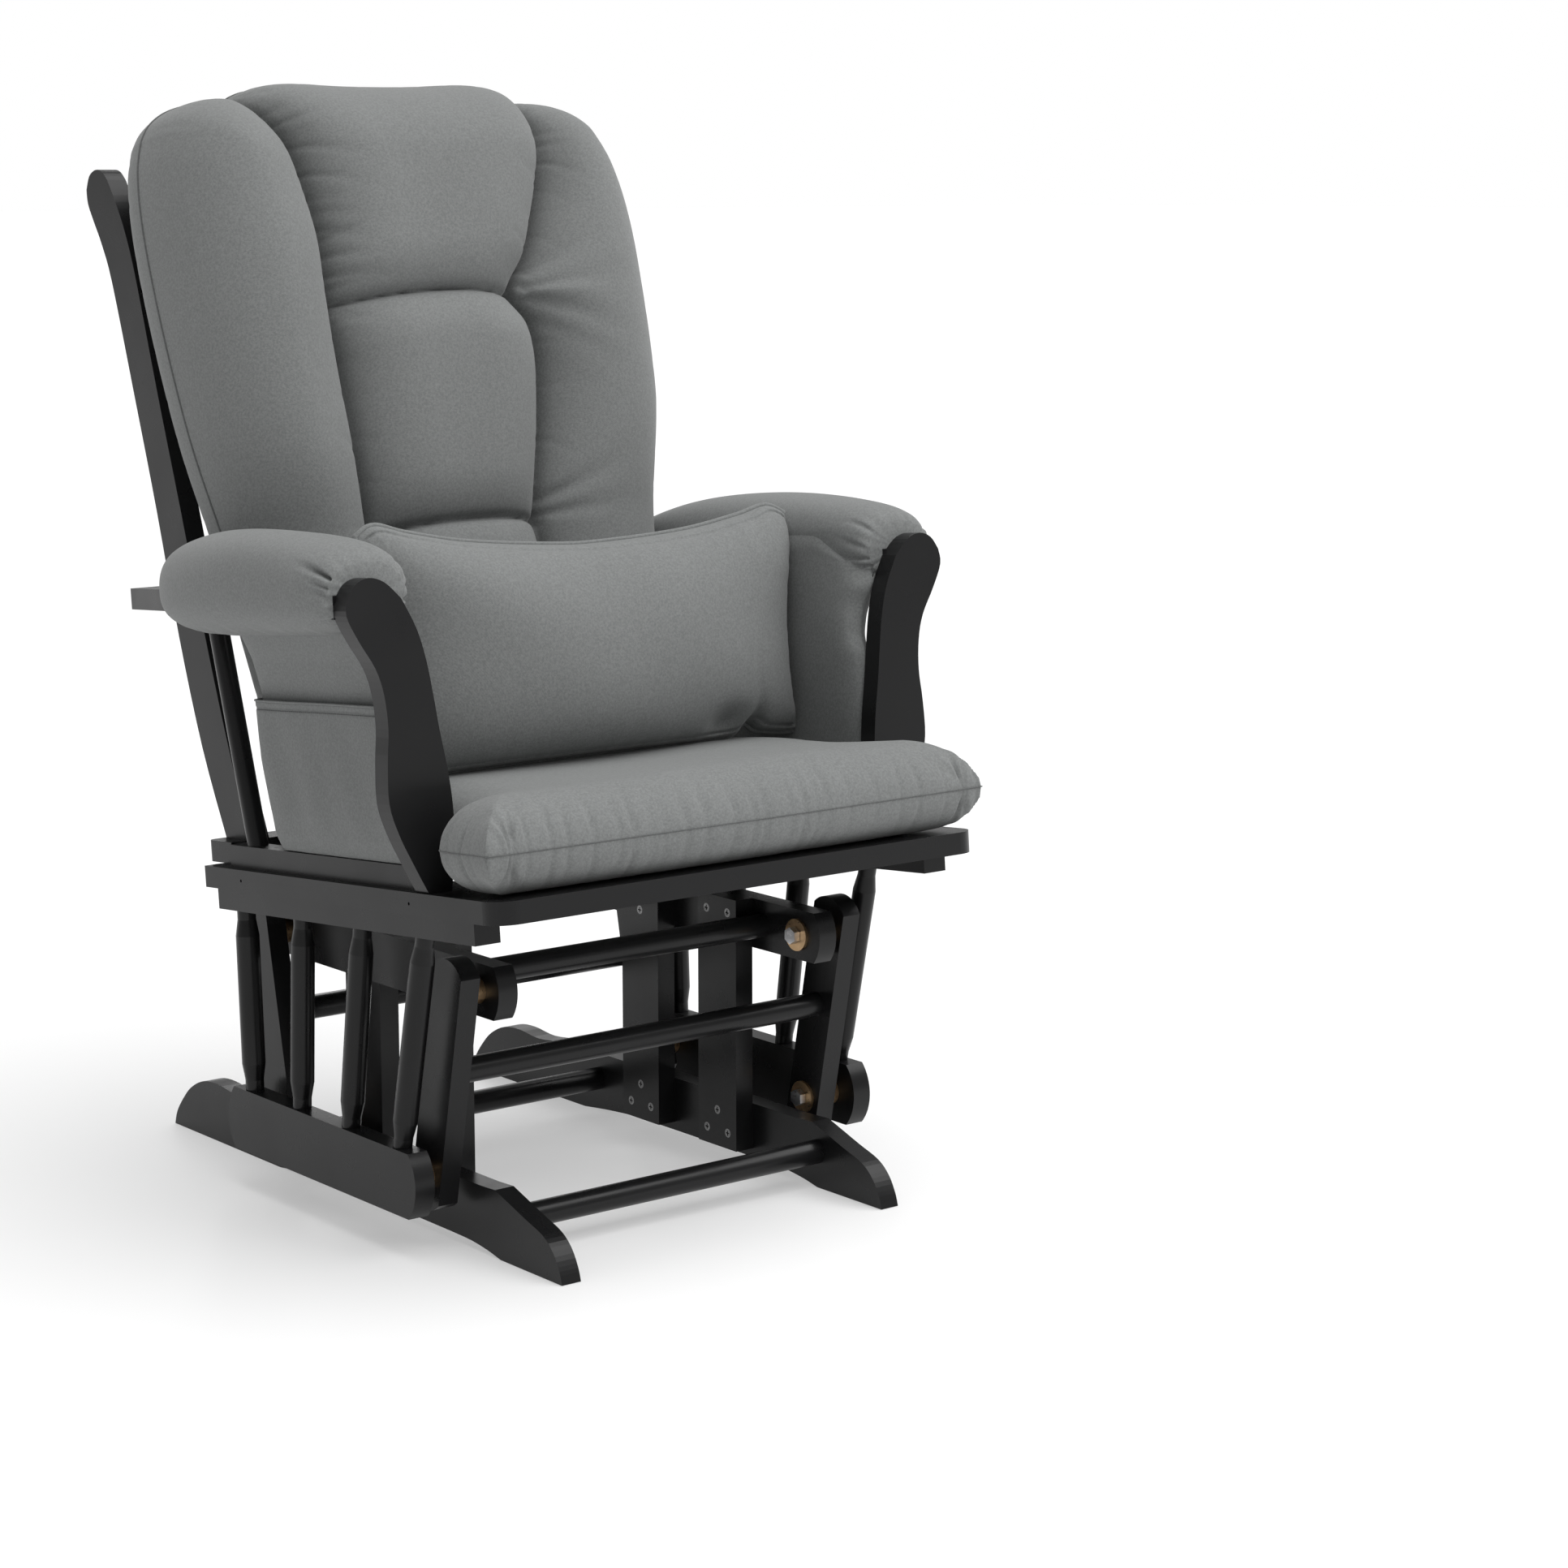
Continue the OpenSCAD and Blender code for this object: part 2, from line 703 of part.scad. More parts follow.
module arm_spindles() {
    color(BLACK) both_sides() on_deck() translate([-arm_spindle_x, 0, 0]) arm_spindle();
}

// Plan of an arm board: wide behind the arm post and narrow beside the back post
module arm_board_plan() {
    polygon([
        [-arm_out, -arm_post_v + board_t], [-arm_board_front_in, -arm_post_v + board_t],
        [-back_x, 200], [-back_x, arm_board_rear_v], [-arm_board_rear_out, arm_board_rear_v],
    ]);
}

module arm_board() {
    color(BLACK) on_deck() difference() {
        translate([0, 0, arm_h - arm_board_t]) linear_extrude(arm_board_t) arm_board_plan();
        translate([-arm_spindle_x, 0, 0]) arm_spindle_tenon();
    }
}

// ---- cushions ----

module seat_cushion() {
    color(GREY) on_deck() translate([0, 0, soft_gap]) linear_extrude(seat_cushion_t - soft_gap) union() {
        translate([-seat_cushion_w / 2, -deck_front + 4])
            square([seat_cushion_w, deck_front - 4 + seat_cushion_rear]);
        translate([-seat_cushion_front_w / 2, -deck_front + 4])
            square([seat_cushion_front_w, deck_front - 4 - arm_post_v - 6]);
    }
}

// Outer shape of the back cushion, or that of its filling at a distance inset from it
module back_cushion_body(inset) {
    low = seat_cushion_t + soft_gap + inset;
    top = post_cap[2][1] + back_cushion_rise - inset;
    rear = [for (i = [1:6]) post_front[i] - [4 + inset, 0]];
    front = [for (i = [6:-1:1]) post_front[i] - [4 + back_cushion_t - inset, 0]];
    profile = concat([[seat_cushion_rear + 4 - inset, low]], rear,
        [[384 - inset, top - 66], [388 - inset, top - 18], [372 - inset, top]],
        [[post_front[6][0] + 24 - back_cushion_t + inset, top]],
        [[post_front[6][0] - 12 - back_cushion_t + inset, top - 24]], front,
        [[post_front[1][0] + 8 - back_cushion_t + inset, low]]);
    narrow = back_x - 9 - inset;
    wide = back_cushion_w / 2 - inset;
    shoulder = top - back_shoulder;
    intersection() {
        side_board(wide + 1, 2 * wide + 2) polygon(profile);
        translate([0, back_h, 0]) rotate([90, 0, 0]) linear_extrude(2 * back_h) {
            polygon([[-narrow, low - 1], [narrow, low - 1], [wide, shoulder], [-wide, shoulder]]);
            translate([-wide + back_shoulder, shoulder - 1])
                square([2 * (wide - back_shoulder), back_shoulder + 2]);
            for (s = [-1, 1]) translate([s * (wide - back_shoulder), shoulder]) circle(back_shoulder);
        }
    }
}

module back_cushion() {
    color(GREY) on_deck() difference() {
        back_cushion_body(0);
        back_cushion_body(cover_t);
    }
}

// Outer shape of the lumbar pillow, or that of its filling at a distance inset from it
module pillow_body(inset) {
    r = pillow_t / 2 - inset;
    edge = pillow_edge - inset / 2;
    high = pillow_h / 2 - inset;
    half = pillow_w / 2 - inset;
    translate([-half, 0, 0]) rotate([90, 0, 90]) linear_extrude(2 * half) polygon([
        [-edge, -high], [edge, -high], [r, -pillow_h / 4], [r, pillow_h / 4],
        [edge, high], [-edge, high], [-r, pillow_h / 4], [-r, -pillow_h / 4],
    ]);
}

module lumbar_pillow() {
    low = seat_cushion_t + soft_gap;
    rise = pillow_h / 2 * cos(pillow_lean) + pillow_edge * sin(pillow_lean);
    color(GREY) on_deck() translate([0, pillow_v, low + rise]) rotate([-pillow_lean, 0, 0]) difference() {
        pillow_body(0);
        pillow_body(cover_t);
    }
}

module arm_pad_plan() {
    front = -arm_post_v + board_t;
    polygon([
        [-arm_out - arm_pad_side, front], [-arm_board_front_in + 12, front],
        [-arm_spindle_x + 12, arm_pad_rear_v - 26], [-arm_spindle_x - 2, arm_pad_rear_v],
        [-arm_spindle_x - 44, arm_pad_rear_v], [-arm_spindle_x - 62, arm_pad_rear_v - 30],
    ]);
}

module arm_pad() {
    low = arm_h - arm_board_t - arm_pad_under;
    color(GREY) on_deck() difference() {
        translate([0, 0, low]) linear_extrude(arm_h + arm_pad_t - low) arm_pad_plan();
        translate([0, 0, arm_h - arm_board_t]) linear_extrude(arm_board_t) arm_board_plan();
        translate([-arm_spindle_x, 0, 0]) aim(0, arm_spindle_foot, arm_spindle_head)
            cylinder(h = norm(arm_spindle_head - arm_spindle_foot) + end_allowance,
                d = arm_spindle_d + 2 * soft_gap);
    }
}

cover_top = arm_h - arm_board_t - arm_pad_under;
cover_low_out = arm_base_out - 1;
cover_high_out = arm_out - 40;
cover_high_in = arm_out - 81;

module arm_cover() {
    color(GREY) on_deck() translate([0, cover_rear_v, 0]) rotate([90, 0, 0])
        linear_extrude(cover_rear_v + arm_post_v - board_t) polygon([
            [-cover_low_out, board_t + soft_gap], [-arm_base_out + arm_base_w, board_t + soft_gap],
            [-cover_high_in, cover_top], [-cover_high_out, cover_top],
            [-cover_low_out, pocket_top + 8],
        ]);
}

// A pocket is a flat pouch on the outer face of an arm cover, open at the top
module pocket() {
    v_len = pocket_rear_v - pocket_front_v;
    on_deck() translate([-cover_low_out - pocket_t, pocket_front_v, pocket_low]) difference() {
        cube([pocket_t, v_len, pocket_top - pocket_low]);
        translate([pocket_wall, pocket_wall, pocket_wall])
            cube([pocket_t, v_len - 2 * pocket_wall, pocket_top]);
    }
}

module side_pockets() {
    color(GREY) both_sides() pocket();
}

// ---- placing ----

// Middle of the whole chair from front to back, which the nodes are moved onto
front_most = max(deck_front * cos(seat_tilt) + deck_t * sin(seat_tilt), runner_front);
rear_most = max([for (p = curve(post_rear, 4)) p[0] * cos(seat_tilt) + p[1] * sin(seat_tilt)]);
middle_y = (max(rear_most, runner_rear) - front_most) / 2;

// Puts the chair's middle over the origin
module placed() {
    translate([0, -middle_y, 0]) children();
}

// ---- nodes ----

placed() color(BLACK) side("left") runner();  // left_runner
placed() color(BLACK) side("right") runner();  // right_runner
placed() color(BLACK) side("left") base_post(post_y[0]);  // left_front_post
placed() color(BLACK) side("left") base_post(post_y[1]);  // left_rear_post
placed() color(BLACK) side("right") base_post(post_y[0]);  // right_front_post
placed() color(BLACK) side("right") base_post(post_y[1]);  // right_rear_post
placed() color(BLACK) side("left") hanger_rail();  // left_hanger_rail
placed() color(BLACK) side("right") hanger_rail();  // right_hanger_rail
placed() color(BLACK) dowel(post_x, top_dowels[0]);  // front_top_stretcher
placed() color(BLACK) dowel(post_x, top_dowels[1]);  // rear_top_stretcher
placed()  // front_floor_stretcher
    color(BLACK) dowel(post_x, [front_floor_y, floor_dowel_z]);
placed()  // rear_floor_stretcher
    color(BLACK) dowel(post_x, [rear_floor_y, floor_dowel_z]);
placed() base_screws();
placed() color(BRASS) both_sides()  // hanger_bearings
    for (p = [upper_front, upper_rear]) at_pivot(post_x, p) bearing(bolt_d + 2 * bolt_fit);
placed()  // left_front_swing_arm
    side("left") swing_arm(upper_front, lower_front);
placed()  // right_front_swing_arm
    side("right") swing_arm(upper_front, lower_front);
placed()  // front_swing_tie
    color(BLACK) dowel(arm_x, tie_place(upper_front, lower_front));
placed() color(BRASS) both_sides()  // front_arm_bearings
    at_pivot(arm_x, lower_front) bearing(bolt_d + 2 * bolt_fit);
placed() color(STEEL) both_sides()  // front_hanger_bolts
    at_pivot(post_x, upper_front) pivot_bolt();
placed() color(BRASS) both_sides()  // front_arm_inserts
    at_pivot(arm_x, upper_front) thread_insert();
placed() side("left") swing_arm(upper_rear, lower_rear);  // left_rear_swing_arm
placed() side("right") swing_arm(upper_rear, lower_rear);  // right_rear_swing_arm
placed()  // rear_swing_tie
    color(BLACK) dowel(arm_x, tie_place(upper_rear, lower_rear));
placed() color(BRASS) both_sides()  // rear_arm_bearings
    at_pivot(arm_x, lower_rear) bearing(bolt_d + 2 * open_slack);
placed() color(STEEL) both_sides()  // rear_hanger_bolts
    at_pivot(post_x, upper_rear) pivot_bolt();
placed() color(BRASS) both_sides()  // rear_arm_inserts
    at_pivot(arm_x, upper_rear) thread_insert();
placed() side("left") lower_rail();  // left_lower_rail
placed() side("right") lower_rail();  // right_lower_rail
placed() color(STEEL) both_sides()  // lower_rail_bolts
    for (p = [lower_front, lower_rear]) at_pivot(arm_x, p) pivot_bolt();
placed() color(BRASS) both_sides()  // lower_rail_inserts
    for (p = [lower_front, lower_rear]) at_pivot(lower_rail_x, p) thread_insert();
placed() side("left") spindles();  // left_spindles
placed() side("right") spindles();  // right_spindles
placed() side("left") cleat();  // left_cleat
placed() side("right") cleat();  // right_cleat
placed() seat_front_rail();
placed() seat_rear_rail();
placed() side("left") seat_side_rail();  // left_seat_side_rail
placed() side("right") seat_side_rail();  // right_seat_side_rail
placed() seat_springs();
placed() arm_base_screws();
placed() back_foot_rail();
placed() side("left") arm_base_rail();  // left_arm_base_rail
placed() side("right") arm_base_rail();  // right_arm_base_rail
placed() side("left") arm_post();  // left_arm_post
placed() side("right") arm_post();  // right_arm_post
placed() arm_spindles();
placed() side("left") arm_board();  // left_arm_board
placed() side("right") arm_board();  // right_arm_board
placed() side("left") back_post();  // left_back_post
placed() side("right") back_post();  // right_back_post
placed() crest_rail();
placed() back_spindles();
placed() seat_cushion();
placed() back_cushion();
placed() lumbar_pillow();
placed() side("left") arm_pad();  // left_arm_pad
placed() side("right") arm_pad();  // right_arm_pad
placed() side("left") arm_cover();  // left_arm_cover
placed() side("right") arm_cover();  // right_arm_cover
placed() side_pockets();
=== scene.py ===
import json
import math

import bmesh
import bpy
import numpy as np
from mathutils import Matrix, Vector


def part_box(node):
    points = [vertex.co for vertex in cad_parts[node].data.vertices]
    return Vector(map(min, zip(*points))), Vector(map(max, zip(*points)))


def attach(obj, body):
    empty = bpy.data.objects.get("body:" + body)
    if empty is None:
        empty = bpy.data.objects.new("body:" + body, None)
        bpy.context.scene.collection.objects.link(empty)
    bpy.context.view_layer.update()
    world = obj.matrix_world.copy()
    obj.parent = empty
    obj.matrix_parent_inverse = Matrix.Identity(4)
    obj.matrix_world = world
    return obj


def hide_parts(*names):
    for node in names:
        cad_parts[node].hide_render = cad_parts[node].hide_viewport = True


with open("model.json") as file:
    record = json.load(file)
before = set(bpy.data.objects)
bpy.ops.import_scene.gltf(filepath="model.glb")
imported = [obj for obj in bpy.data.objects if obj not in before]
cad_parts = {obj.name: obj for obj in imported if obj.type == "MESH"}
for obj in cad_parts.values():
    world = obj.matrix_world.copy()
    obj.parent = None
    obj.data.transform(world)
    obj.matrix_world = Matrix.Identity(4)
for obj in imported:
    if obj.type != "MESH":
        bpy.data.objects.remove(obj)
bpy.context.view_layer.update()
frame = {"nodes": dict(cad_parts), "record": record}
nodes = frame["nodes"]
SIGN = {"left": -1, "right": 1}

# ---- the tipped deck, found from the seat's front rail ----
TILT = math.radians(5)
COS, SIN = math.cos(TILT), math.sin(TILT)
DECK_FRONT, DECK_T = 0.301, 0.021
rail_low, rail_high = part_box("seat_front_rail")
MID_Y = -(rail_low[1] + DECK_FRONT * COS + DECK_T * SIN)
DECK_Z = rail_high[2] - DECK_FRONT * SIN


def deck(p):
    """Points (x, v, w) on the tipped deck, v to the rear and w up from it, in the frame."""
    p = np.asarray(p, float)
    x, v, w = p[..., 0], p[..., 1], p[..., 2]
    return np.stack([x, v * COS + w * SIN - MID_Y, DECK_Z - v * SIN + w * COS], -1)


# ---- camera, floor, backdrop and lights ----
LENS, SENSOR = 80.05, 36
CAMERA_PLACE = (-1.9309, -2.7523 - MID_Y, 0.9796)
CAMERA_DOWN, CAMERA_TURN = 9.81, -38.77
FLOOR_SIZE, FLOOR_DROP = 200, 0.0005
FLOOR_TONE, FLOOR_GLOW = 0.50, 0.40
BACKDROP_AS_LIGHT, BACKDROP_IN_VIEW = 0.42, 1.0
SUN_WAY, SUN_POWER, SUN_SPREAD = (0.22, -0.30, 0.93), 3.35, 70
STRIP_AIM = (0, 0, 0.4)
STRIPS = (("front_strip", (0.9, -3.2, 1.9), (0.35, 1.6), 5),
          ("rear_strip", (1.6, 2.6, 1.8), (0.40, 1.8), 8))


def into_scene(name, data):
    obj = bpy.data.objects.new(name, data)
    bpy.context.scene.collection.objects.link(obj)
    return obj


def camera():
    data = bpy.data.cameras.new("camera")
    data.lens = LENS
    data.sensor_width = SENSOR
    cam = into_scene("camera", data)
    cam.location = CAMERA_PLACE
    cam.rotation_euler = (math.radians(90 - CAMERA_DOWN), 0, math.radians(CAMERA_TURN))
    bpy.context.scene.camera = cam


def floor_plane():
    """A white floor that keeps a soft shadow and fades into the backdrop."""
    bpy.ops.mesh.primitive_plane_add(size=FLOOR_SIZE, location=(0, 0, -FLOOR_DROP))
    floor = bpy.context.object
    floor.name = "floor"
    mat, n = new_material("floor_material")
    n["base"].inputs["Base Color"].default_value = (FLOOR_TONE, FLOOR_TONE, FLOOR_TONE, 1)
    n["base"].inputs["Roughness"].default_value = 0.6
    n["base"].inputs["Emission Color"].default_value = (1, 1, 1, 1)
    n["base"].inputs["Emission Strength"].default_value = FLOOR_GLOW
    n["base"].inputs["Specular IOR Level"].default_value = 0.2
    floor.data.materials.append(mat)


def backdrop():
    """Pure white where it is seen, and dimmer where it lights the chair."""
    world = bpy.data.worlds.new("studio")
    bpy.context.scene.world = world
    world.use_nodes = True
    tree = world.node_tree
    back = tree.nodes["Background"]
    back.inputs[0].default_value = (1, 1, 1, 1)
    sight = tree.nodes.new("ShaderNodeLightPath")
    level = tree.nodes.new("ShaderNodeMapRange")
    level.inputs["To Min"].default_value = BACKDROP_AS_LIGHT
    level.inputs["To Max"].default_value = BACKDROP_IN_VIEW
    tree.links.new(sight.outputs["Is Camera Ray"], level.inputs["Value"])
    tree.links.new(level.outputs[0], back.inputs[1])
    bpy.context.scene.view_settings.view_transform = "Standard"


def lights():
    """A wide soft light from above, and two upright strips that draw the wood's edges."""
    data = bpy.data.lights.new("overhead", "SUN")
    data.energy = SUN_POWER
    data.angle = math.radians(SUN_SPREAD)
    sun = into_scene("overhead", data)
    sun.rotation_euler = Vector(SUN_WAY).to_track_quat("Z", "Y").to_euler()
    for name, stand, size, power in STRIPS:
        data = bpy.data.lights.new(name, "AREA")
        data.shape = "RECTANGLE"
        data.size, data.size_y = size
        data.energy = power
        light = into_scene(name, data)
        light.location = stand
        way = Vector(STRIP_AIM) - Vector(stand)
        light.rotation_euler = way.to_track_quat("-Z", "Y").to_euler()


# ---- materials: scales are in features to a metre ----
WHITE = (1, 1, 1)
THREADS, SLUBS, NAP, PATCHES = 330.0, 430.0, 900.0, 9.0
WOOD_GRAIN, ORANGE_PEEL, WOOD_CLOUDS = 210.0, 420.0, 14.0
BRUSH_LINES, TARNISH = 300.0, 90.0


def new_material(name):
    """A material, and its node tree with the shader at hand."""
    mat = bpy.data.materials.new(name)
    mat.use_nodes = True
    tree = mat.node_tree
    return mat, {"base": tree.nodes["Principled BSDF"], "tree": tree}


def add(n, kind, **values):
    node = n["tree"].nodes.new(kind)
    for key, value in values.items():
        if key in node.inputs:
            node.inputs[key].default_value = value
        else:
            setattr(node, key, value)
    return node


def link(n, a, b):
    n["tree"].links.new(a, b)


def noise(n, coords, scale, detail=3.0, stretch=None):
    """Noise over the object, drawn out along an axis by a small stretch."""
    if stretch:
        mapping = add(n, "ShaderNodeMapping")
        mapping.inputs["Scale"].default_value = stretch
        link(n, coords, mapping.inputs["Vector"])
        coords = mapping.outputs[0]
    node = add(n, "ShaderNodeTexNoise", Scale=scale, Detail=detail)
    link(n, coords, node.inputs["Vector"])
    return node.outputs["Fac"]


def tones(colour, *stops):
    """Ramp stops from pairs of a place and a share of a colour."""
    return [(place, [c * share for c in colour]) for place, share in stops]


def ramp(n, source, stops):
    node = add(n, "ShaderNodeValToRGB")
    for element, (place, colour) in zip(node.color_ramp.elements, stops):
        element.position = place
        element.color = (*colour, 1)
    link(n, source, node.inputs[0])
    return node.outputs[0]


def multiply(n, a, b):
    mix = add(n, "ShaderNodeMix", data_type="RGBA", blend_type="MULTIPLY")
    mix.inputs["Factor"].default_value = 1
    link(n, a, mix.inputs["A"])
    link(n, b, mix.inputs["B"])
    return mix.outputs["Result"]


def bump(n, sources):
    """Stacked bumps from (height, strength, distance)."""
    last = None
    for source, strength, distance in sources:
        node = add(n, "ShaderNodeBump", Strength=strength, Distance=distance)
        link(n, source, node.inputs["Height"])
        if last:
            link(n, last.outputs[0], node.inputs["Normal"])
        last = node
    link(n, last.outputs[0], n["base"].inputs["Normal"])


def weave(n, coords):
    """Two sets of threads that cross."""
    cross = add(n, "ShaderNodeMath", operation="MULTIPLY")
    for k, turn in enumerate(((0, 0, 0.6), (0, 0.4, 2.17))):
        mapping = add(n, "ShaderNodeMapping")
        mapping.inputs["Rotation"].default_value = turn
        link(n, coords, mapping.inputs["Vector"])
        wave = add(n, "ShaderNodeTexWave", Scale=THREADS, Distortion=1.2, Detail=1.0)
        wave.inputs["Detail Scale"].default_value = 2.0
        link(n, mapping.outputs[0], wave.inputs["Vector"])
        link(n, wave.outputs["Fac"], cross.inputs[k])
    return cross.outputs[0]


def fabric_material(name, colour):
    """Fine plain weave: crossing threads, soft slubs and a faint nap."""
    mat, n = new_material(name)
    coords = add(n, "ShaderNodeTexCoord").outputs["Object"]
    threads = weave(n, coords)
    nap = noise(n, coords, NAP, 2.0)
    slub = noise(n, coords, SLUBS, 3.0)
    wide = noise(n, coords, PATCHES, 2.0)
    tone = ramp(n, slub, tones(colour, (0.36, 0.88), (0.64, 1.11)))
    grain = ramp(n, nap, tones(WHITE, (0.3, 0.90), (0.7, 1.08)))
    shade = ramp(n, wide, tones(WHITE, (0.3, 0.985), (0.7, 1.015)))
    link(n, multiply(n, multiply(n, tone, grain), shade), n["base"].inputs["Base Color"])
    rough = ramp(n, slub, tones(WHITE, (0.3, 0.80), (0.7, 0.92)))
    link(n, rough, n["base"].inputs["Roughness"])
    n["base"].inputs["Sheen Weight"].default_value = 0.16
    n["base"].inputs["Sheen Roughness"].default_value = 0.5
    n["base"].inputs["Specular IOR Level"].default_value = 0.25
    bump(n, [(threads, 0.22, 0.0003), (slub, 0.10, 0.0005)])
    return mat


def wood_material(name, colour, along, gloss=0.29):
    """Black satin lacquer over close grain, with a painted highlight that lightens its sharp edges."""
    mat, n = new_material(name)
    coords = add(n, "ShaderNodeTexCoord").outputs["Object"]
    stretch = {"x": (0.06, 1, 1), "y": (1, 0.06, 1), "z": (1, 1, 0.06)}[along]
    grain = noise(n, coords, WOOD_GRAIN, 5.0, stretch)
    orange_peel = noise(n, coords, ORANGE_PEEL, 2.0)
    cloud = noise(n, coords, WOOD_CLOUDS, 3.0)
    # painted highlight: pointiness mixes a lighter colour onto the sharp edges, in place of light caught on
    # rounded edges
    edge = add(n, "ShaderNodeNewGeometry").outputs["Pointiness"]
    mix = add(n, "ShaderNodeMix", data_type="RGBA", blend_type="MIX")
    mix.inputs["B"].default_value = (*[c * 1.9 for c in colour], 1)
    link(n, ramp(n, edge, tones(WHITE, (0.505, 0), (0.56, 1))), mix.inputs["Factor"])
    link(n, ramp(n, grain, tones(colour, (0.3, 0.86), (0.7, 1.2))), mix.inputs["A"])
    link(n, mix.outputs["Result"], n["base"].inputs["Base Color"])
    rough = ramp(n, cloud, tones(WHITE, (0.3, gloss - 0.05), (0.7, gloss + 0.06)))
    link(n, rough, n["base"].inputs["Roughness"])
    n["base"].inputs["Specular IOR Level"].default_value = 0.26
    bump(n, [(grain, 0.03, 0.0002), (orange_peel, 0.02, 0.0002)])
    return mat


def metal_material(name, colour, rough):
    """Brushed metal with uneven tarnish."""
    mat, n = new_material(name)
    coords = add(n, "ShaderNodeTexCoord").outputs["Object"]
    lines = noise(n, coords, BRUSH_LINES, 4.0, (1, 0.3, 1))
    spots = noise(n, coords, TARNISH, 3.0)
    tone = ramp(n, spots, tones(colour, (0.3, 0.82), (0.7, 1.08)))
    link(n, tone, n["base"].inputs["Base Color"])
    polish = ramp(n, lines, tones(WHITE, (0.3, rough - 0.06), (0.7, rough + 0.1)))
    link(n, polish, n["base"].inputs["Roughness"])
    n["base"].inputs["Metallic"].default_value = 1
    bump(n, [(lines, 0.08, 0.0003)])
    return mat


GREY = (0.166, 0.172, 0.170)
BLACK = (0.0038, 0.0038, 0.0040)
FABRIC = fabric_material("grey_weave", GREY)
THREAD = fabric_material("grey_thread", [c * 0.55 for c in GREY])
WOOD = {a: wood_material("black_wood_" + a, BLACK, a) for a in "xyz"}
STEEL = metal_material("zinc", (0.62, 0.62, 0.63), 0.3)
SCREW = metal_material("dark_zinc", (0.24, 0.24, 0.24), 0.36)
BRASS = metal_material("brass", (0.70, 0.47, 0.26), 0.32)


def finish_cad():
    """Better materials on the CAD nodes that stay in sight."""
    kinds = {m["slot"]: m["class"] for m in frame["record"]["materials"]}
    looks = {"screw": SCREW, "fabric": FABRIC, "brass": BRASS, "brushed_steel": STEEL}
    for part in frame["record"]["subparts"]:
        node = part["node"]
        kind = "screw" if "screws" in node else kinds[part["material_slot"]]
        low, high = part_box(node)
        span = [high[i] - low[i] for i in range(3)]
        grain = "z" if "spindles" in node else "xyz"[span.index(max(span))]
        for slot in nodes[node].material_slots:
            slot.material = WOOD[grain] if kind == "wood" else looks[kind]


# ---- mesh code ----
def new_object(name, verts, faces, mat):
    mesh = bpy.data.meshes.new(name)
    mesh.from_pydata([tuple(map(float, v)) for v in verts], [], [tuple(map(int, f)) for f in faces])
    mesh.update()
    mesh.materials.append(mat)
    mesh.polygons.foreach_set("use_smooth", [True] * len(mesh.polygons))
    return into_scene(name, mesh)


def fix_normals(obj):
    """Turns every face of a closed mesh outward, which its signed volume confirms."""
    bm = bmesh.new()
    bm.from_mesh(obj.data)
    bmesh.ops.recalc_face_normals(bm, faces=bm.faces)
    if bm.calc_volume(signed=True) < 0:
        bmesh.ops.reverse_faces(bm, faces=bm.faces)
    bm.to_mesh(obj.data)
    bm.free()


def place(obj, body, slot, stands_for=(), fill=None):
    """Attaches a piece to the body it rides on and hides the parts it stands for; slot and fill are not used.
    """
    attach(obj, body)
    if stands_for:
        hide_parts(*stands_for)


def rise(value, start, span):
    """0 up to start, then a straight rise to 1 over span."""
    return np.clip((value - start) / span, 0, 1)


def fall(value, end, span):
    """A straight fall from 1 to 0 over the last span before end."""
    return np.clip((end - value) / span, 0, 1)


def bell(offset, width):
    return np.exp(-(offset / width) ** 2)


def dome(d, radius, power=2.0):
    """Rises from 0 at d = 0 to 1 at d = radius, as a stuffed edge does."""
    u = 1 - np.clip(d / radius, 0, 1)
    return (1 - u ** power) ** (1 / power)


def squared(turn, power):
    """A sine or cosine pushed out from a round towards a square."""
    return np.sign(turn) * np.abs(turn) ** (2 / power)


def resample(points, count, cluster=0.0):
    """count points along a polyline, spaced evenly or closer together towards both ends."""
    p = np.asarray(points, float)
    length = np.concatenate([[0], np.cumsum(np.linalg.norm(np.diff(p, axis=0), axis=1))])
    t = np.linspace(0, 1, count)
    t = t - cluster * np.sin(2 * np.pi * t) / (2 * np.pi)
    t *= length[-1]
    return np.stack([np.interp(t, length, p[:, i]) for i in range(p.shape[1])], -1)


def smooth_line(points, steps=8):
    """A smooth curve through the points."""
    p = np.asarray(points, float)
    out = []
    for i in range(len(p) - 1):
        a, b, c, d = p[max(i - 1, 0)], p[i], p[i + 1], p[min(i + 2, len(p) - 1)]
        for k in range(steps):
            t = k / steps
            out.append(0.5 * (2 * b + (c - a) * t + (2 * a - 5 * b + 4 * c - d) * t * t
                              + (3 * b - a - 3 * c + d) * t ** 3))
    out.append(p[-1])
    return np.array(out)


def patch(low, high, left, right):
    """Fills four edge curves: low and high run left to right, left and right run low to high."""
    u = np.linspace(0, 1, len(low))[:, None, None]
    v = np.linspace(0, 1, len(left))[None, :, None]
    low, high, left, right = low[:, None], high[:, None], left[None], right[None]
    corners = ((1 - u) * (1 - v) * low[0, 0] + u * (1 - v) * low[-1, 0]
               + (1 - u) * v * high[0, 0] + u * v * high[-1, 0])
    return (1 - v) * low + v * high + (1 - u) * left + u * right - corners


def outline_of(low, high, left, right, counts):
    """One loop round four edge curves, from counts of points on the low edge, each side and the high edge."""
    foot, side, head = counts
    return np.concatenate([resample(low, foot), resample(right, side),
                           resample(high, head)[::-1], resample(left, side)[::-1]])


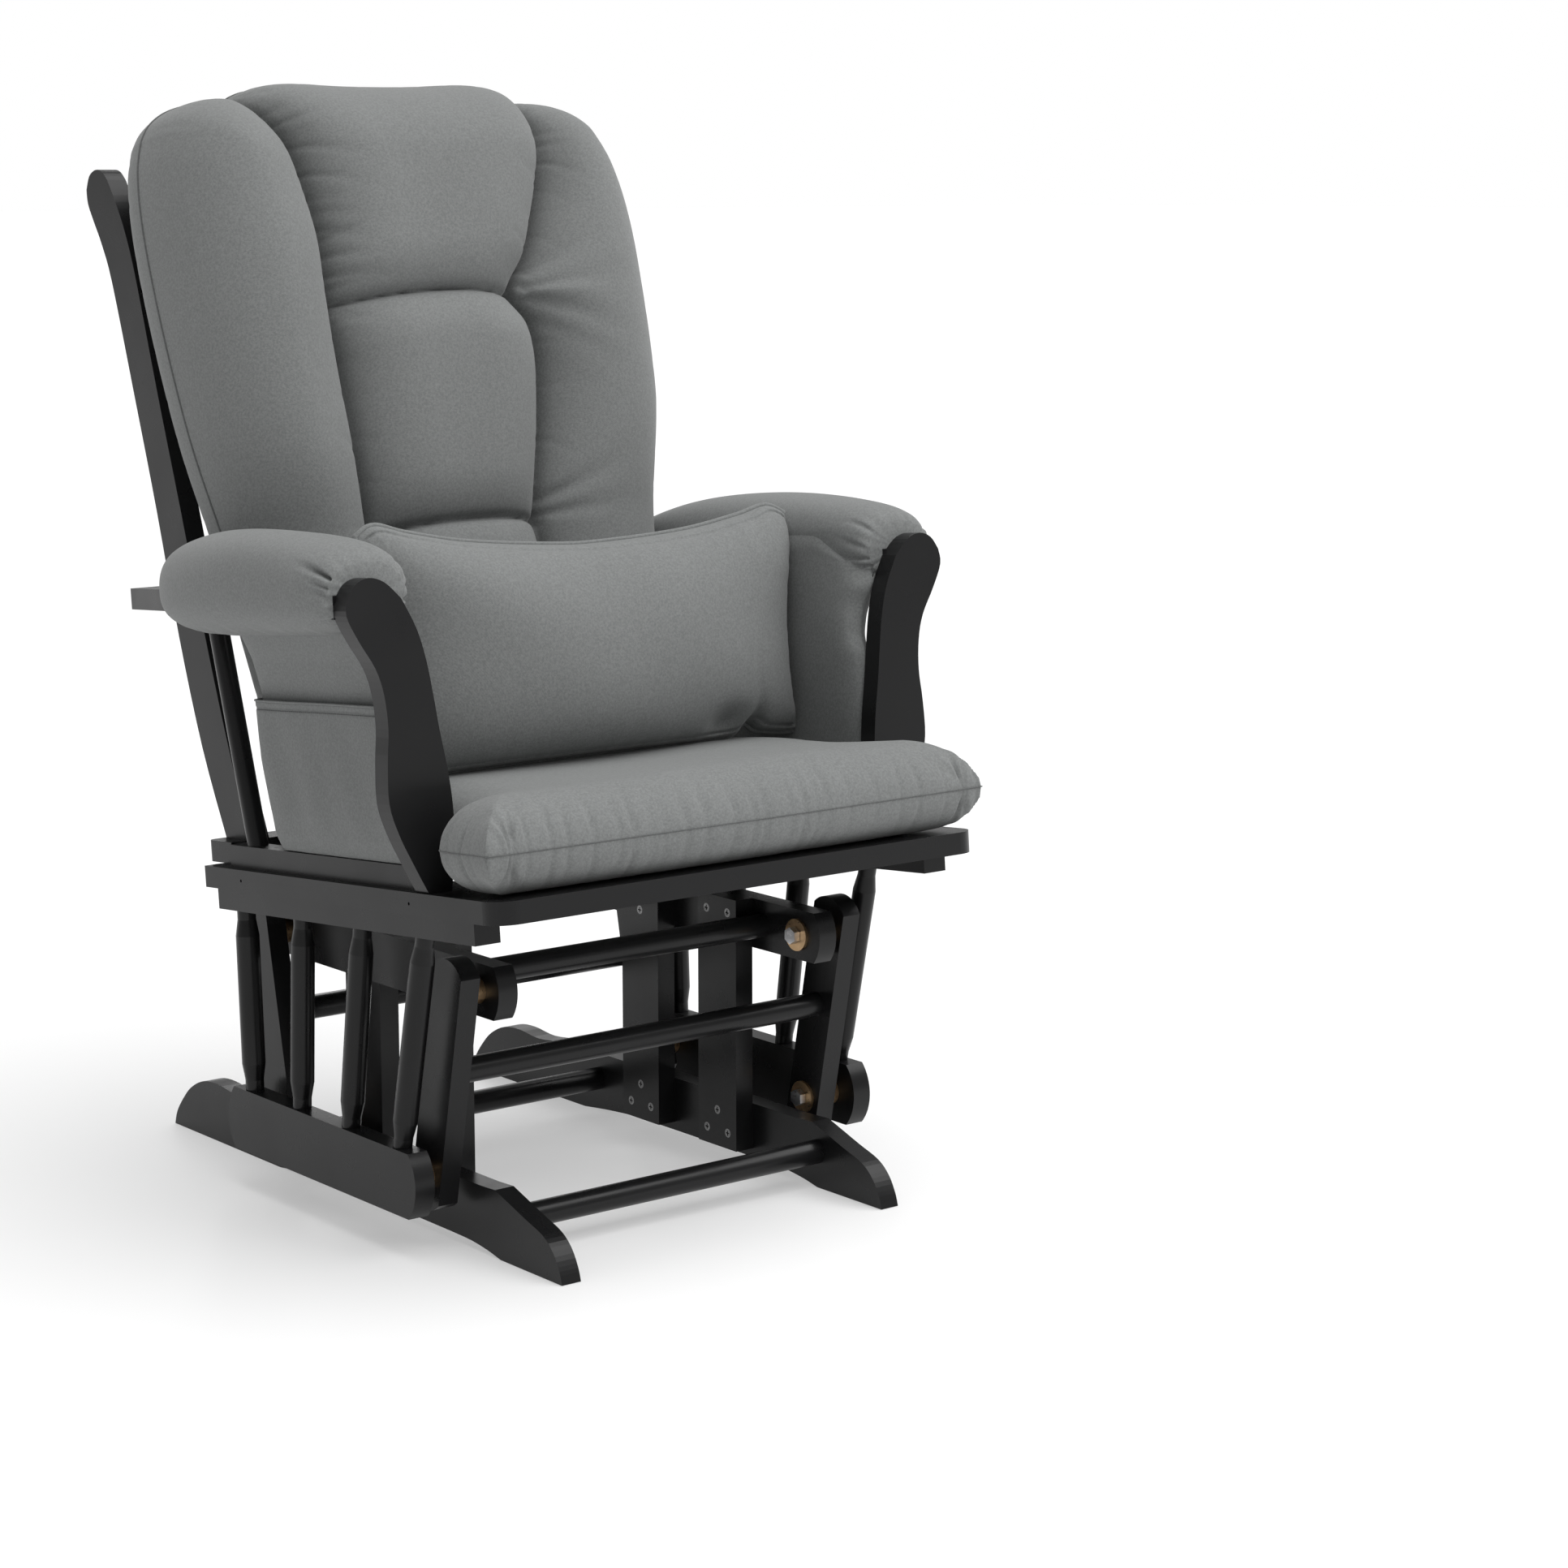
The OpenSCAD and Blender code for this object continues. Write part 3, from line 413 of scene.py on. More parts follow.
def distance(points, line):
    """Distance from each point to a polyline, and the place along it, from 0 to its length."""
    a, b = line[:-1], line[1:]
    seg = b - a
    length = np.linalg.norm(seg, axis=1)
    start = np.concatenate([[0], np.cumsum(length)[:-1]])
    flat = points.reshape(-1, 2)
    best = np.full(len(flat), 1e9)
    along = np.zeros(len(flat))
    for i in range(len(a)):
        if length[i] < 1e-9:
            continue
        t = np.clip((flat - a[i]) @ seg[i] / length[i] ** 2, 0, 1)
        d = np.linalg.norm(flat - a[i] - t[:, None] * seg[i], axis=1)
        near = d < best
        best[near] = d[near]
        along[near] = start[i] + t[near] * length[i]
    return best.reshape(points.shape[:2]), along.reshape(points.shape[:2])


def ripple(along, pitch, seed):
    """Uneven gathers along a seam, between -1 and 1."""
    r = np.random.default_rng(seed)
    total = np.zeros_like(along)
    for k, share in ((1.0, 1.0), (1.7, 0.7), (0.53, 0.8), (2.6, 0.4)):
        total += share * np.sin(2 * np.pi * along * k / pitch + r.uniform(0, 6.28)
                                + 1.1 * np.sin(2 * np.pi * along / (pitch * r.uniform(3, 7))))
    return total / 2.2


def pleats(d, along, start, end, pitch, depth, reach, seed, drift=0.5):
    """Narrow uneven creases that run out from a seam, between two places along it."""
    r = np.random.default_rng(seed)
    total = np.zeros_like(d)
    s = start
    while s < end:
        a = depth * r.uniform(0.25, 1.0)
        far = reach * r.uniform(0.5, 1.3)
        lean = drift * r.uniform(-1, 1)
        wide = 0.0022 * r.uniform(0.8, 1.4)
        total -= a * bell(along - s - lean * d, wide + 0.11 * d) * np.exp(-d / far)
        s += pitch * r.uniform(0.55, 1.6)
    return total


def soft_noise(p, scale, seed, count=14):
    """Slow uneven swelling over a surface, about -1 to 1."""
    r = np.random.default_rng(seed)
    total = np.zeros(p.shape[:2])
    for _ in range(count):
        k = r.normal(size=2) / scale * 2.2
        total += np.sin(p @ k + r.uniform(0, 6.28))
    return total / math.sqrt(count)


def raise_by(points, relief, out):
    """Moves a grid of points along its normals, out being roughly the way outward."""
    normal = np.cross(np.gradient(points, axis=0), np.gradient(points, axis=1))
    normal /= np.linalg.norm(normal, axis=-1, keepdims=True) + 1e-12
    normal *= np.sign((normal * out).sum(-1, keepdims=True).mean())
    return points + normal * relief[..., None]


def grid_quads(index):
    """Faces of a grid of vertex numbers."""
    corners = [index[:-1, :-1], index[1:, :-1], index[1:, 1:], index[:-1, 1:]]
    return np.stack(corners, -1).reshape(-1, 4)


def tube_quads(index, closed=False):
    """Faces round a tube's rings of vertex numbers, and back to the first ring where it is closed."""
    turned = np.roll(index, -1, 1)
    if closed:
        corners = [index, turned, np.roll(turned, -1, 0), np.roll(index, -1, 0)]
    else:
        corners = [index[:-1], turned[:-1], turned[1:], index[1:]]
    return np.stack(corners, -1).reshape(-1, 4)


def lens(name, grid, top, bottom, to_frame, relief=None, under=None):
    """A closed stuffed form from a grid of plan points and its heights above and below the seam."""
    nu, nv = grid.shape[:2]
    inner = np.zeros((nu, nv), bool)
    inner[1:-1, 1:-1] = True
    upper, lower = to_frame(grid, top), to_frame(grid, bottom)
    away = upper - lower
    if relief is not None:
        upper = raise_by(upper, relief, away)
    if under is not None:
        lower = raise_by(lower, under, -away)
    index = np.arange(nu * nv).reshape(nu, nv)
    low_index = index.copy()
    low_index[inner] = nu * nv + np.arange(inner.sum())
    verts = np.concatenate([upper.reshape(-1, 3), lower[inner]])
    faces = np.concatenate([grid_quads(index), grid_quads(low_index)[:, [0, 3, 2, 1]]])
    obj = new_object(name, verts, faces, FABRIC)
    fix_normals(obj)
    return obj


def loft(name, rings):
    """A closed tube through rings of points, capped at both ends."""
    count, around = rings.shape[:2]
    index = np.arange(count * around).reshape(count, around)
    turned = np.roll(index, -1, 1)
    faces = tube_quads(index).tolist()
    verts = list(rings.reshape(-1, 3))
    for ring, step in ((0, -1), (count - 1, 1)):
        centre = len(verts)
        verts.append(rings[ring].mean(0))
        for k in range(around):
            faces.append([centre, *(index[ring, k], turned[ring, k])[::step]])
    obj = new_object(name, verts, faces, FABRIC)
    fix_normals(obj)
    return obj


def cord_along(name, points, radius, mat, closed=False, sides=10):
    """A thin round welt or thread along points in the frame."""
    p = np.asarray(points, float)
    tangent = np.roll(p, -1, 0) - np.roll(p, 1, 0) if closed else np.gradient(p, axis=0)
    tangent /= np.linalg.norm(tangent, axis=1, keepdims=True) + 1e-12
    normal = np.cross(tangent[0], [0.31, 0.22, 0.93])
    normals = []
    for t in tangent:
        normal = normal - t * (normal @ t)
        normal /= np.linalg.norm(normal) + 1e-12
        normals.append(normal.copy())
    normals = np.array(normals)
    side = np.cross(tangent, normals)
    turn = np.linspace(0, 2 * np.pi, sides, endpoint=False)
    rings = p[:, None] + radius * (np.cos(turn)[None, :, None] * normals[:, None]
                                   + np.sin(turn)[None, :, None] * side[:, None])
    index = np.arange(len(p) * sides).reshape(len(p), sides)
    faces = tube_quads(index, closed).tolist()
    if not closed:
        faces += [list(index[0][::-1]), list(index[-1])]
    obj = new_object(name, rings.reshape(-1, 3), faces, mat)
    fix_normals(obj)
    return obj


def stitches(name, points, normal, length, gap, radius, sides=6):
    """A row of short stitches with thin ends along points in the frame."""
    total = np.linalg.norm(np.diff(points, axis=0), axis=1).sum()
    count = int(total / (length + gap))
    fine = resample(points, count * 4 + 1)
    normal = np.asarray(normal, float)
    verts, faces = [], []
    for i in range(count):
        a, b = fine[4 * i], fine[4 * i + 2]
        way = (b - a) / (np.linalg.norm(b - a) + 1e-12)
        across = np.cross(way, normal)
        base = len(verts)
        for q, s in ((a, 0.55), (a + (b - a) * 0.25, 1), (a + (b - a) * 0.75, 1), (b, 0.55)):
            for k in range(sides):
                t = 2 * np.pi * k / sides
                verts.append(q + radius * s * (math.cos(t) * across + math.sin(t) * normal))
        index = base + np.arange(4 * sides).reshape(4, sides)
        faces += tube_quads(index).tolist() + [list(index[0][::-1]), list(index[-1])]
    obj = new_object(name, verts, faces, THREAD)
    fix_normals(obj)
    return obj


# ---- back cushion: plan points are (x, w), heights run forward ----
# the line of the back posts' front edges: heights w above the deck, and how far back they are there
POST_W = np.array([21, 110, 220, 345, 462, 575, 622, 655, 700, 790]) / 1000
POST_V = np.array([192, 222, 253, 284, 314, 341, 356, 370, 386, 404]) / 1000
POST_LINE = np.polyfit(POST_W, POST_V, 3)
SEAM_AHEAD = 0.090
BACK_ROUND = 0.088
CHANNEL_ROUND, CHANNEL_FLOOR = 0.078, 0.44
CROSS_ROUND, CROSS_FLOOR = 0.050, 0.76


def back_to_frame(grid, height):
    """Lays the cushion along the back posts, its edge seam a set way in front of them."""
    x, w = grid[..., 0], grid[..., 1]
    lean = np.polyval(np.polyder(POST_LINE), w) * 0.9
    size = np.sqrt(1 + lean ** 2)
    seam_v = np.polyval(POST_LINE, w) - SEAM_AHEAD
    return deck(np.stack([x, seam_v - height / size, w + height * lean / size * 0.6], -1))


def back_edges():
    """Lower edge, top, left side and right side."""
    left = smooth_line([(-0.226, 0.100), (-0.233, 0.200), (-0.243, 0.300), (-0.258, 0.400),
                        (-0.264, 0.480), (-0.266, 0.560), (-0.264, 0.625), (-0.257, 0.675),
                        (-0.246, 0.706)])
    right = left * [-1, 1]
    right[:, 0] += 0.011 * rise(right[:, 1], 0.22, 0.20)
    top = smooth_line([(-0.246, 0.706), (-0.234, 0.722), (-0.214, 0.735), (-0.188, 0.743),
                       (-0.164, 0.746), (-0.148, 0.746), (-0.137, 0.752), (-0.118, 0.758),
                       (-0.090, 0.760), (-0.030, 0.758), (0.040, 0.758), (0.105, 0.761),
                       (0.142, 0.759), (0.162, 0.752), (0.174, 0.746), (0.190, 0.746),
                       (0.216, 0.741), (0.236, 0.731), (0.250, 0.718), (0.257, 0.706)])
    low = np.array([(-0.226, 0.100), (0.226, 0.100)])
    return low, top, left, right


def back_seams():
    """The sewn channels: two that run up the cushion, and two across the middle between them."""
    left = smooth_line([(-0.106, 0.090), (-0.112, 0.220), (-0.117, 0.324), (-0.118, 0.424),
                        (-0.121, 0.532), (-0.119, 0.600), (-0.126, 0.674), (-0.138, 0.710),
                        (-0.147, 0.734), (-0.152, 0.765)])
    right = smooth_line([(0.082, 0.090), (0.081, 0.220), (0.086, 0.320), (0.104, 0.397),
                         (0.113, 0.461), (0.109, 0.505), (0.097, 0.535), (0.120, 0.570),
                         (0.140, 0.610), (0.158, 0.650), (0.170, 0.690), (0.173, 0.730),
                         (0.172, 0.770)])
    upper = smooth_line([(-0.121, 0.526), (-0.060, 0.533), (0.000, 0.537), (0.060, 0.535),
                         (0.097, 0.530)])
    lower = smooth_line([(-0.116, 0.303), (-0.060, 0.309), (0.000, 0.311), (0.060, 0.309),
                         (0.086, 0.303)])
    return left, right, upper, lower


def back_channels(grid, middle, seams):
    """The share of its thickness that the channels leave, and the creases that run out from them."""
    left, right, upper, lower = seams
    narrow = np.ones(grid.shape[:2])
    folds = np.zeros(grid.shape[:2])
    d, along = distance(grid, resample(left, 90))
    narrow *= CHANNEL_FLOOR + (1 - CHANNEL_FLOOR) * dome(d, CHANNEL_ROUND, 2.05)
    folds += np.where(middle, pleats(d, along, 0.42, 0.70, 0.017, 0.0075, 0.022, 11, 0.45),
                      0.45 * pleats(d, along, 0.45, 0.68, 0.020, 0.0055, 0.011, 12))
    folds += 0.5 * np.where(middle, pleats(d, along, 0.20, 0.40, 0.030, 0.0050, 0.014, 13),
                            pleats(d, along, 0.05, 0.43, 0.040, 0.0060, 0.016, 14))
    d, along = distance(grid, resample(right, 90))
    narrow *= CHANNEL_FLOOR + (1 - CHANNEL_FLOOR) * dome(d, CHANNEL_ROUND, 2.05)
    folds += np.where(middle, 0.6 * pleats(d, along, 0.50, 0.72, 0.026, 0.0070, 0.016, 15),
                      0.6 * pleats(d, along, 0.52, 0.72, 0.020, 0.0060, 0.014, 16, 0.6))
    folds += np.where(middle, 0.3, 0.55) * pleats(d, along, 0.12, 0.42, 0.036, 0.0050, 0.016, 17, 0.7)
    for line in (upper, lower):
        d, _ = distance(grid, resample(line, 40))
        narrow *= np.where(middle, CROSS_FLOOR + (1 - CROSS_FLOOR) * dome(d, CROSS_ROUND), 1)
    return narrow, folds


def corner_folds(grid, middle, folds):
    """Cuts in the folds that run outward from the pinched corners of the middle panels."""
    x, w = grid[..., 0], grid[..., 1]
    for cx, cw, ax, aw, deep in ((0.104, 0.537, 1.0, 0.06, 0.0085), (0.106, 0.528, 0.92, -0.40, 0.0095),
                                 (0.112, 0.552, 0.90, 0.44, 0.0070), (0.110, 0.505, 0.85, -0.53, 0.0035),
                                 (0.088, 0.325, 0.93, 0.37, 0.0070), (0.086, 0.312, 1.0, 0.05, 0.0050)):
        rx, rw = x - cx, w - cw
        out = rx * ax + rw * aw
        across = -rx * aw + rw * ax
        reach = np.clip(out, 0, 1)
        folds -= deep * bell(across, 0.0045 + 0.09 * reach) * np.exp(-reach / 0.040) * (out > 0) * ~middle


def seam_grooves(grid, seams, folds):
    """Cuts in the narrow grooves along the stitching."""
    for line, deep, wide in zip(seams, (0.0065, 0.0065, 0.0050, 0.0050), (0.0040, 0.0040, 0.0034, 0.0034)):
        d, _ = distance(grid, resample(line, 60))
        folds -= deep * bell(d, wide)


def back_cushion():
    low, top, left, right = back_edges()
    across, up = 251, 301
    grid = patch(resample(low, across, 0.5), resample(top, across, 0.2),
                 resample(left, up, 0.35), resample(right, up, 0.35))
    x, w = grid[..., 0], grid[..., 1]
    d, along = distance(grid, outline_of(low, top, left, right, (40, 90, 140)))
    seams = back_seams()
    middle = ((x > np.interp(w, seams[0][:, 1], seams[0][:, 0]))
              & (x < np.interp(w, seams[1][:, 1], seams[1][:, 0])))
    thickness = smooth_line([(0.05, 0.072), (0.10, 0.076), (0.20, 0.080), (0.30, 0.090), (0.39, 0.106),
                             (0.50, 0.121), (0.60, 0.127), (0.70, 0.127), (0.80, 0.120)], 20)
    swell = np.interp(w, thickness[:, 0], thickness[:, 1])
    edge = dome(d, BACK_ROUND, 2.2)
    narrow, folds = back_channels(grid, middle, seams)
    corner_folds(grid, middle, folds)
    folds += pleats(d, along, 0.0, 2.6, 0.030, 0.0034, 0.009, 18, 0.4)
    seam_grooves(grid, seams, folds)
    plump = 0.0035 * soft_noise(grid, 0.11, 5) * edge
    front = swell * edge * narrow + folds * dome(d, 0.014) + plump
    front = np.where(d > 1e-6, np.maximum(front, 0.0002), 0)
    rear = (-0.074 * dome(d, 0.080, 2.3)
            + 0.6 * dome(d, 0.014) * -pleats(d, along, 0.0, 2.6, 0.040, 0.0040, 0.014, 19))
    obj = lens("back_cushion_soft", grid, front, rear, back_to_frame)
    place(obj, "seat", "back_fabric", ("back_cushion",), 0.9)
    ring = resample(np.concatenate([left, top, right[::-1]]), 420)
    path = back_to_frame(ring[None], np.zeros((1, len(ring))))[0]
    place(cord_along("back_cushion_seam", path, 0.0012, THREAD), "seat", "back_fabric")


# ---- seat cushion: plan points are (x, v), heights run up from the deck ----
SEAT_REAR, SEAT_FRONT = 0.176, -0.304
SEAT_BACK_HALF, SEAT_HALF = 0.212, 0.238
SEAT_NOTCH = -0.199
SEAT_SEAM, SEAT_LIFT = 0.041, 0.0006


def seat_edges():
    """Rear edge, front edge, left side and right side, with a notch round each arm post."""
    left = smooth_line([(-SEAT_BACK_HALF, SEAT_REAR), (-0.222, 0.12), (-0.230, 0.06), (-SEAT_HALF, -0.02),
                        (-SEAT_HALF, -0.12), (-SEAT_HALF - 0.001, SEAT_NOTCH + 0.018),
                        (-0.250, SEAT_NOTCH - 0.002), (-0.270, SEAT_NOTCH - 0.008),
                        (-0.281, SEAT_NOTCH - 0.020), (-0.285, SEAT_NOTCH - 0.045),
                        (-0.285, SEAT_FRONT + 0.026), (-0.287, SEAT_FRONT + 0.004)])
    right = left * [-1, 1]
    rear = np.array([(-SEAT_BACK_HALF, SEAT_REAR), (SEAT_BACK_HALF, SEAT_REAR)])
    front = smooth_line([(-0.287, SEAT_FRONT + 0.004), (-0.266, SEAT_FRONT + 0.002), (-0.18, SEAT_FRONT),
                         (0, SEAT_FRONT - 0.003), (0.18, SEAT_FRONT), (0.266, SEAT_FRONT + 0.002),
                         (0.287, SEAT_FRONT + 0.004)])
    return rear, front, left, right


def seat_to_frame(grid, height):
    return deck(np.stack([grid[..., 0], grid[..., 1], height], -1))


def seat_cushion():
    rear, front, left, right = seat_edges()
    across, deep = 201, 171
    grid = patch(resample(rear, across, 0.5), resample(front, across, 0.5),
                 resample(left, deep, 0.5), resample(right, deep, 0.5))
    outline = outline_of(rear, front, left, right, (40, 100, 140))
    d, along = distance(grid, outline)
    x, v = grid[..., 0], grid[..., 1]
    top = (SEAT_SEAM + 0.045 * dome(d, 0.056, 2.0) + 0.0055 * dome(d, 0.20, 2.0)
           + 0.0016 * soft_noise(grid, 0.13, 9))
    top = np.where(d < 1e-6, SEAT_SEAM, top)
    bottom = np.maximum(SEAT_SEAM - 0.0405 * dome(d, 0.046, 2.1), SEAT_LIFT)
    creased = pleats(d, along, 0.0, 3.0, 0.021, 0.0052, 0.014, 8, 0.3) * dome(d, 0.005)
    pinch = np.zeros_like(d)
    for corner in (-0.262, 0.262):
        r = np.hypot(x - corner, v - SEAT_FRONT)
        turn = np.arctan2(v - SEAT_FRONT, x - corner)
        pinch -= 0.0045 * np.exp(-r / 0.016) * (0.5 + 0.5 * np.sin(turn * 7 + 1.0)) * dome(d, 0.005)
    share = 0.2 + 0.8 * fall(v, 0.02, 0.2)
    obj = lens("seat_cushion_soft", grid, top, bottom, seat_to_frame,
               relief=(creased + pinch) * share, under=(0.9 * creased + pinch) * share)
    place(obj, "seat", "seat_fabric", ("seat_cushion",), 0.8)
    path = seat_to_frame(outline, np.full(len(outline), SEAT_SEAM))
    place(cord_along("seat_cushion_seam", path, 0.0006, THREAD, closed=True), "seat", "seat_fabric")


# ---- lumbar pillow: plan points are (x, h) about its centre, heights run forward ----
PILLOW_W, PILLOW_H = 0.252, 0.116
PILLOW_CENTRE = (0.003, -0.056, 0.206)
PILLOW_LEAN = math.radians(2.5)
PILLOW_FRONT, PILLOW_REAR = 0.070, -0.056
SEAT_TOP = 0.0895


def pillow_edges():
    """Lower edge, top, left side and right side, with an ear at each upper corner."""
    w, h = PILLOW_W, PILLOW_H
    top = smooth_line([(-w + 0.006, h - 0.006), (-w + 0.026, h + 0.004), (-0.190, h - 0.004),
                       (-0.12, h - 0.014), (0, h - 0.019), (0.12, h - 0.014), (0.195, h - 0.003),
                       (w - 0.020, h + 0.005), (w + 0.004, h - 0.004)])
    top[:, 1] -= 0.009 * rise(top[:, 0], -0.24, 0.24)
    low = smooth_line([(-w + 0.006, -h + 0.006), (-w + 0.030, -h), (-0.16, -h + 0.002), (0, -h + 0.003),
                       (0.12, -h + 0.002), (0.165, -h + 0.004), (0.182, -h + 0.014),
                       (0.196, -h + 0.006), (w - 0.022, -h + 0.001), (w - 0.004, -h + 0.001)])
    left = smooth_line([(-w + 0.006, -h + 0.006), (-w + 0.003, -h + 0.028), (-w + 0.014, -0.04),
                        (-w + 0.016, 0.03), (-w + 0.003, h - 0.030), (-w + 0.006, h - 0.006)])
    right = smooth_line([(w - 0.004, -h + 0.001), (w - 0.006, -h + 0.020), (w - 0.013, -0.050),
                         (w - 0.010, 0.02), (w + 0.004, h - 0.036), (w + 0.004, h - 0.013)])
    return low, top, left, right


def pillow_to_frame(grid, height):
    """Stands the pillow on the seat cushion, its foot resting on the fabric."""
    cx, cv, cw = PILLOW_CENTRE
    up, back = math.cos(PILLOW_LEAN), math.sin(PILLOW_LEAN)
    v = cv + grid[..., 1] * back - height * up
    w = cw + grid[..., 1] * up + height * back * 0.4
    return deck(np.stack([grid[..., 0] + cx, v, np.maximum(w, SEAT_TOP)], -1))


def crown(count, power):
    """A stuffed profile from edge to edge, for a grid whose lines close up at both ends."""
    t = np.linspace(0, 1, count)
    run = np.linspace(-1, 1, count) - 0.5 * np.sin(2 * np.pi * t) / np.pi
    return np.sqrt(np.clip(1 - np.abs(run) ** power, 0, 1))


def lumbar_pillow():
    low, top, left, right = pillow_edges()
    across, up = 181, 111
    grid = patch(resample(low, across, 0.5), resample(top, across, 0.5),
                 resample(left, up, 0.5), resample(right, up, 0.5))
    outline = outline_of(low, top, left, right, (120, 70, 120))
    d, along = distance(grid, outline)
    x, h = grid[..., 0], grid[..., 1]
    swell = (crown(across, 2.6)[:, None] * crown(up, 2.2)[None]) ** 0.92
    bow = 0.004 * soft_noise(grid, 0.12, 21) * dome(d, 0.05)
    tuck = np.exp(-((x - 0.138) / 0.022) ** 2 - ((h + 0.096) / 0.014) ** 2)
    pull = np.exp(-((x - 0.178) / 0.012) ** 2 - ((h + 0.104) / 0.014) ** 2)
    front = PILLOW_FRONT * swell + bow - 0.014 * tuck - 0.008 * pull
    front += 0.0012 * np.exp(-d / 0.012) * ripple(along, 0.035, 22) * dome(d, 0.008)
    front -= 0.0030 * bell(d - 0.0065, 0.0016)
    obj = lens("lumbar_pillow_soft", grid, front, PILLOW_REAR * swell, pillow_to_frame)
    place(obj, "pillow", "pillow_fabric", ("lumbar_pillow",), 0.85)
    path = pillow_to_frame(outline[None], np.zeros((1, len(outline))))[0]
    piping = cord_along("lumbar_pillow_piping", path, 0.0030, FABRIC, closed=True)
    place(piping, "pillow", "pillow_fabric")


# ---- arms ----
PAD_FRONT = -0.1695
PAD = smooth_line([  # v, outer x, inner x, top w, bottom w
    (PAD_FRONT, 0.3475, 0.270, 0.2965, 0.243), (-0.164, 0.3520, 0.263, 0.3035, 0.240),
    (-0.150, 0.3560, 0.258, 0.3110, 0.237), (-0.120, 0.3600, 0.252, 0.3180, 0.2335),
    (-0.070, 0.3625, 0.248, 0.3245, 0.2315), (-0.010, 0.3620, 0.245, 0.3275, 0.2310),
    (0.060, 0.3560, 0.243, 0.3265, 0.2315), (0.120, 0.3460, 0.242, 0.3220, 0.2330),
    (0.160, 0.3330, 0.242, 0.3150, 0.2360), (0.185, 0.3170, 0.2425, 0.3070, 0.2410),
    (0.200, 0.3020, 0.2450, 0.2980, 0.2480), (0.208, 0.2900, 0.2500, 0.2890, 0.2560),
    (0.2115, 0.2780, 0.2580, 0.2800, 0.2640)], 10)
PAD_POWER = 2.35
PAD_WAIST = 0.46
PANEL_FOOT, PANEL_TOP, PANEL_FRONT = 0.0217, 0.3000, -0.1690
POCKET_FOOT, POCKET_TOP, POCKET_FRONT = 0.0225, 0.1655, -0.1675
POCKET_CLOTH = 0.0014
STITCH, STITCH_GAP, STITCH_R = 0.0021, 0.0013, 0.00055


def pad_rings(turn):
    """The pad's plain rings of points, at the same turns round each station."""
    c, s = np.cos(turn), np.sin(turn)
    rings = []
    for v, outer, inner, high, low in PAD[np.concatenate([[True], np.diff(PAD[:, 0]) > 1e-6])]:
        cx, cw = (outer + inner) / 2, low + (high - low) * PAD_WAIST
        x = cx + (outer - inner) / 2 * squared(c, PAD_POWER)
        w = cw + np.where(s > 0, high - cw, cw - low) * squared(s, PAD_POWER)
        rings.append(np.stack([x, np.full(len(turn), v), w], -1))
    return np.array(rings)


def arm_pad(side):
    """The roll over an arm board: small behind the post's head, fat in the middle, round at the rear."""
    turn = np.linspace(0, 2 * np.pi, 144, endpoint=False)
    rings = pad_rings(turn)
    v, w = rings[..., 1], rings[..., 2]
    centre = rings.mean(1, keepdims=True)
    out = rings - centre
    out /= np.linalg.norm(out, axis=-1, keepdims=True) + 1e-9
    # gathers round the post's head, and pleats that run back from it
    to_head = np.clip(v - PAD_FRONT, 0, 1)
    gather = 0.0009 * np.exp(-to_head / 0.008) * np.sin(turn * 17 + 0.8 * np.sin(turn * 5))[None]
    pleat = np.zeros_like(v)
    for angle, depth, reach, drift in ((0.50, 0.0110, 0.026, 2.0), (0.22, 0.0045, 0.018, 1.2),
                                       (3.35, 0.0060, 0.030, -2.4), (3.62, 0.0050, 0.026, -1.2),
                                       (3.05, 0.0036, 0.022, -3.0), (2.45, 0.0030, 0.018, 1.5),
                                       (0.05, 0.0038, 0.022, 1.0), (5.6, 0.0030, 0.020, -1.0)):
        offset = (turn[None] - angle - drift * to_head + np.pi) % (2 * np.pi) - np.pi
        pleat -= depth * bell(offset, 0.055 + to_head) * bell(to_head, reach) * rise(to_head, 0, 0.003)
    swell = 0.0013 * np.sin(v * 23 + 1.2 * np.sin(turn * 2)[None]) * fall(v, 0.2, 0.1)
    tuck = 0.0012 * bell(w - 0.233, 0.006) * np.sin(v * 260 + 3 * np.sin(v * 60))
    rings = rings + out * (gather + pleat + swell + tuck)[..., None]
    # room for the inner panel, which lies over this side
    covered = fall(w, 0.292, 0.02) * fall(v, 0.075, 0.04) * rise(v, -0.150, 0.03)
    rings[..., 0] += 0.0028 * covered * (rings[..., 0] < centre[..., 0])
    rings[..., 0] *= SIGN[side]
    obj = loft(side + "_arm_pad_soft", deck(rings))
    place(obj, "seat", "arm_fabric", (side + "_arm_pad",), 0.9)


def pad_inner(v, w):
    """Inner face of an arm's pad at a place along it and a height."""
    outer, inner, high, low = (np.interp(v, PAD[:, 0], PAD[:, k]) for k in (1, 2, 3, 4))
    cw = low + (high - low) * PAD_WAIST
    up = np.where(w > cw, high - cw, cw - low)
    share = np.clip(1 - np.clip(np.abs(w - cw) / up, 0, 1) ** PAD_POWER, 0, 1) ** (1 / PAD_POWER)
    return (outer + inner) / 2 - (outer - inner) / 2 * share


def panel_edges(w):
    """Outer and inner faces and rear edge of an arm's fabric panel at height w."""
    outer = np.interp(w, [0.0215, 0.060, 0.120, 0.172, 0.205, 0.236],
                      [0.2655, 0.2690, 0.2705, 0.2735, 0.2840, 0.3000])
    inner = np.interp(w, [0.0215, 0.060, 0.150, 0.200, 0.245], [0.2440, 0.2452, 0.2462, 0.2464, 0.2462])
    rear = np.interp(w, [0.0215, 0.040, 0.070, 0.110, 0.165, 0.236],
                     [0.072, 0.084, 0.094, 0.100, 0.101, 0.103])
    return outer, inner, rear


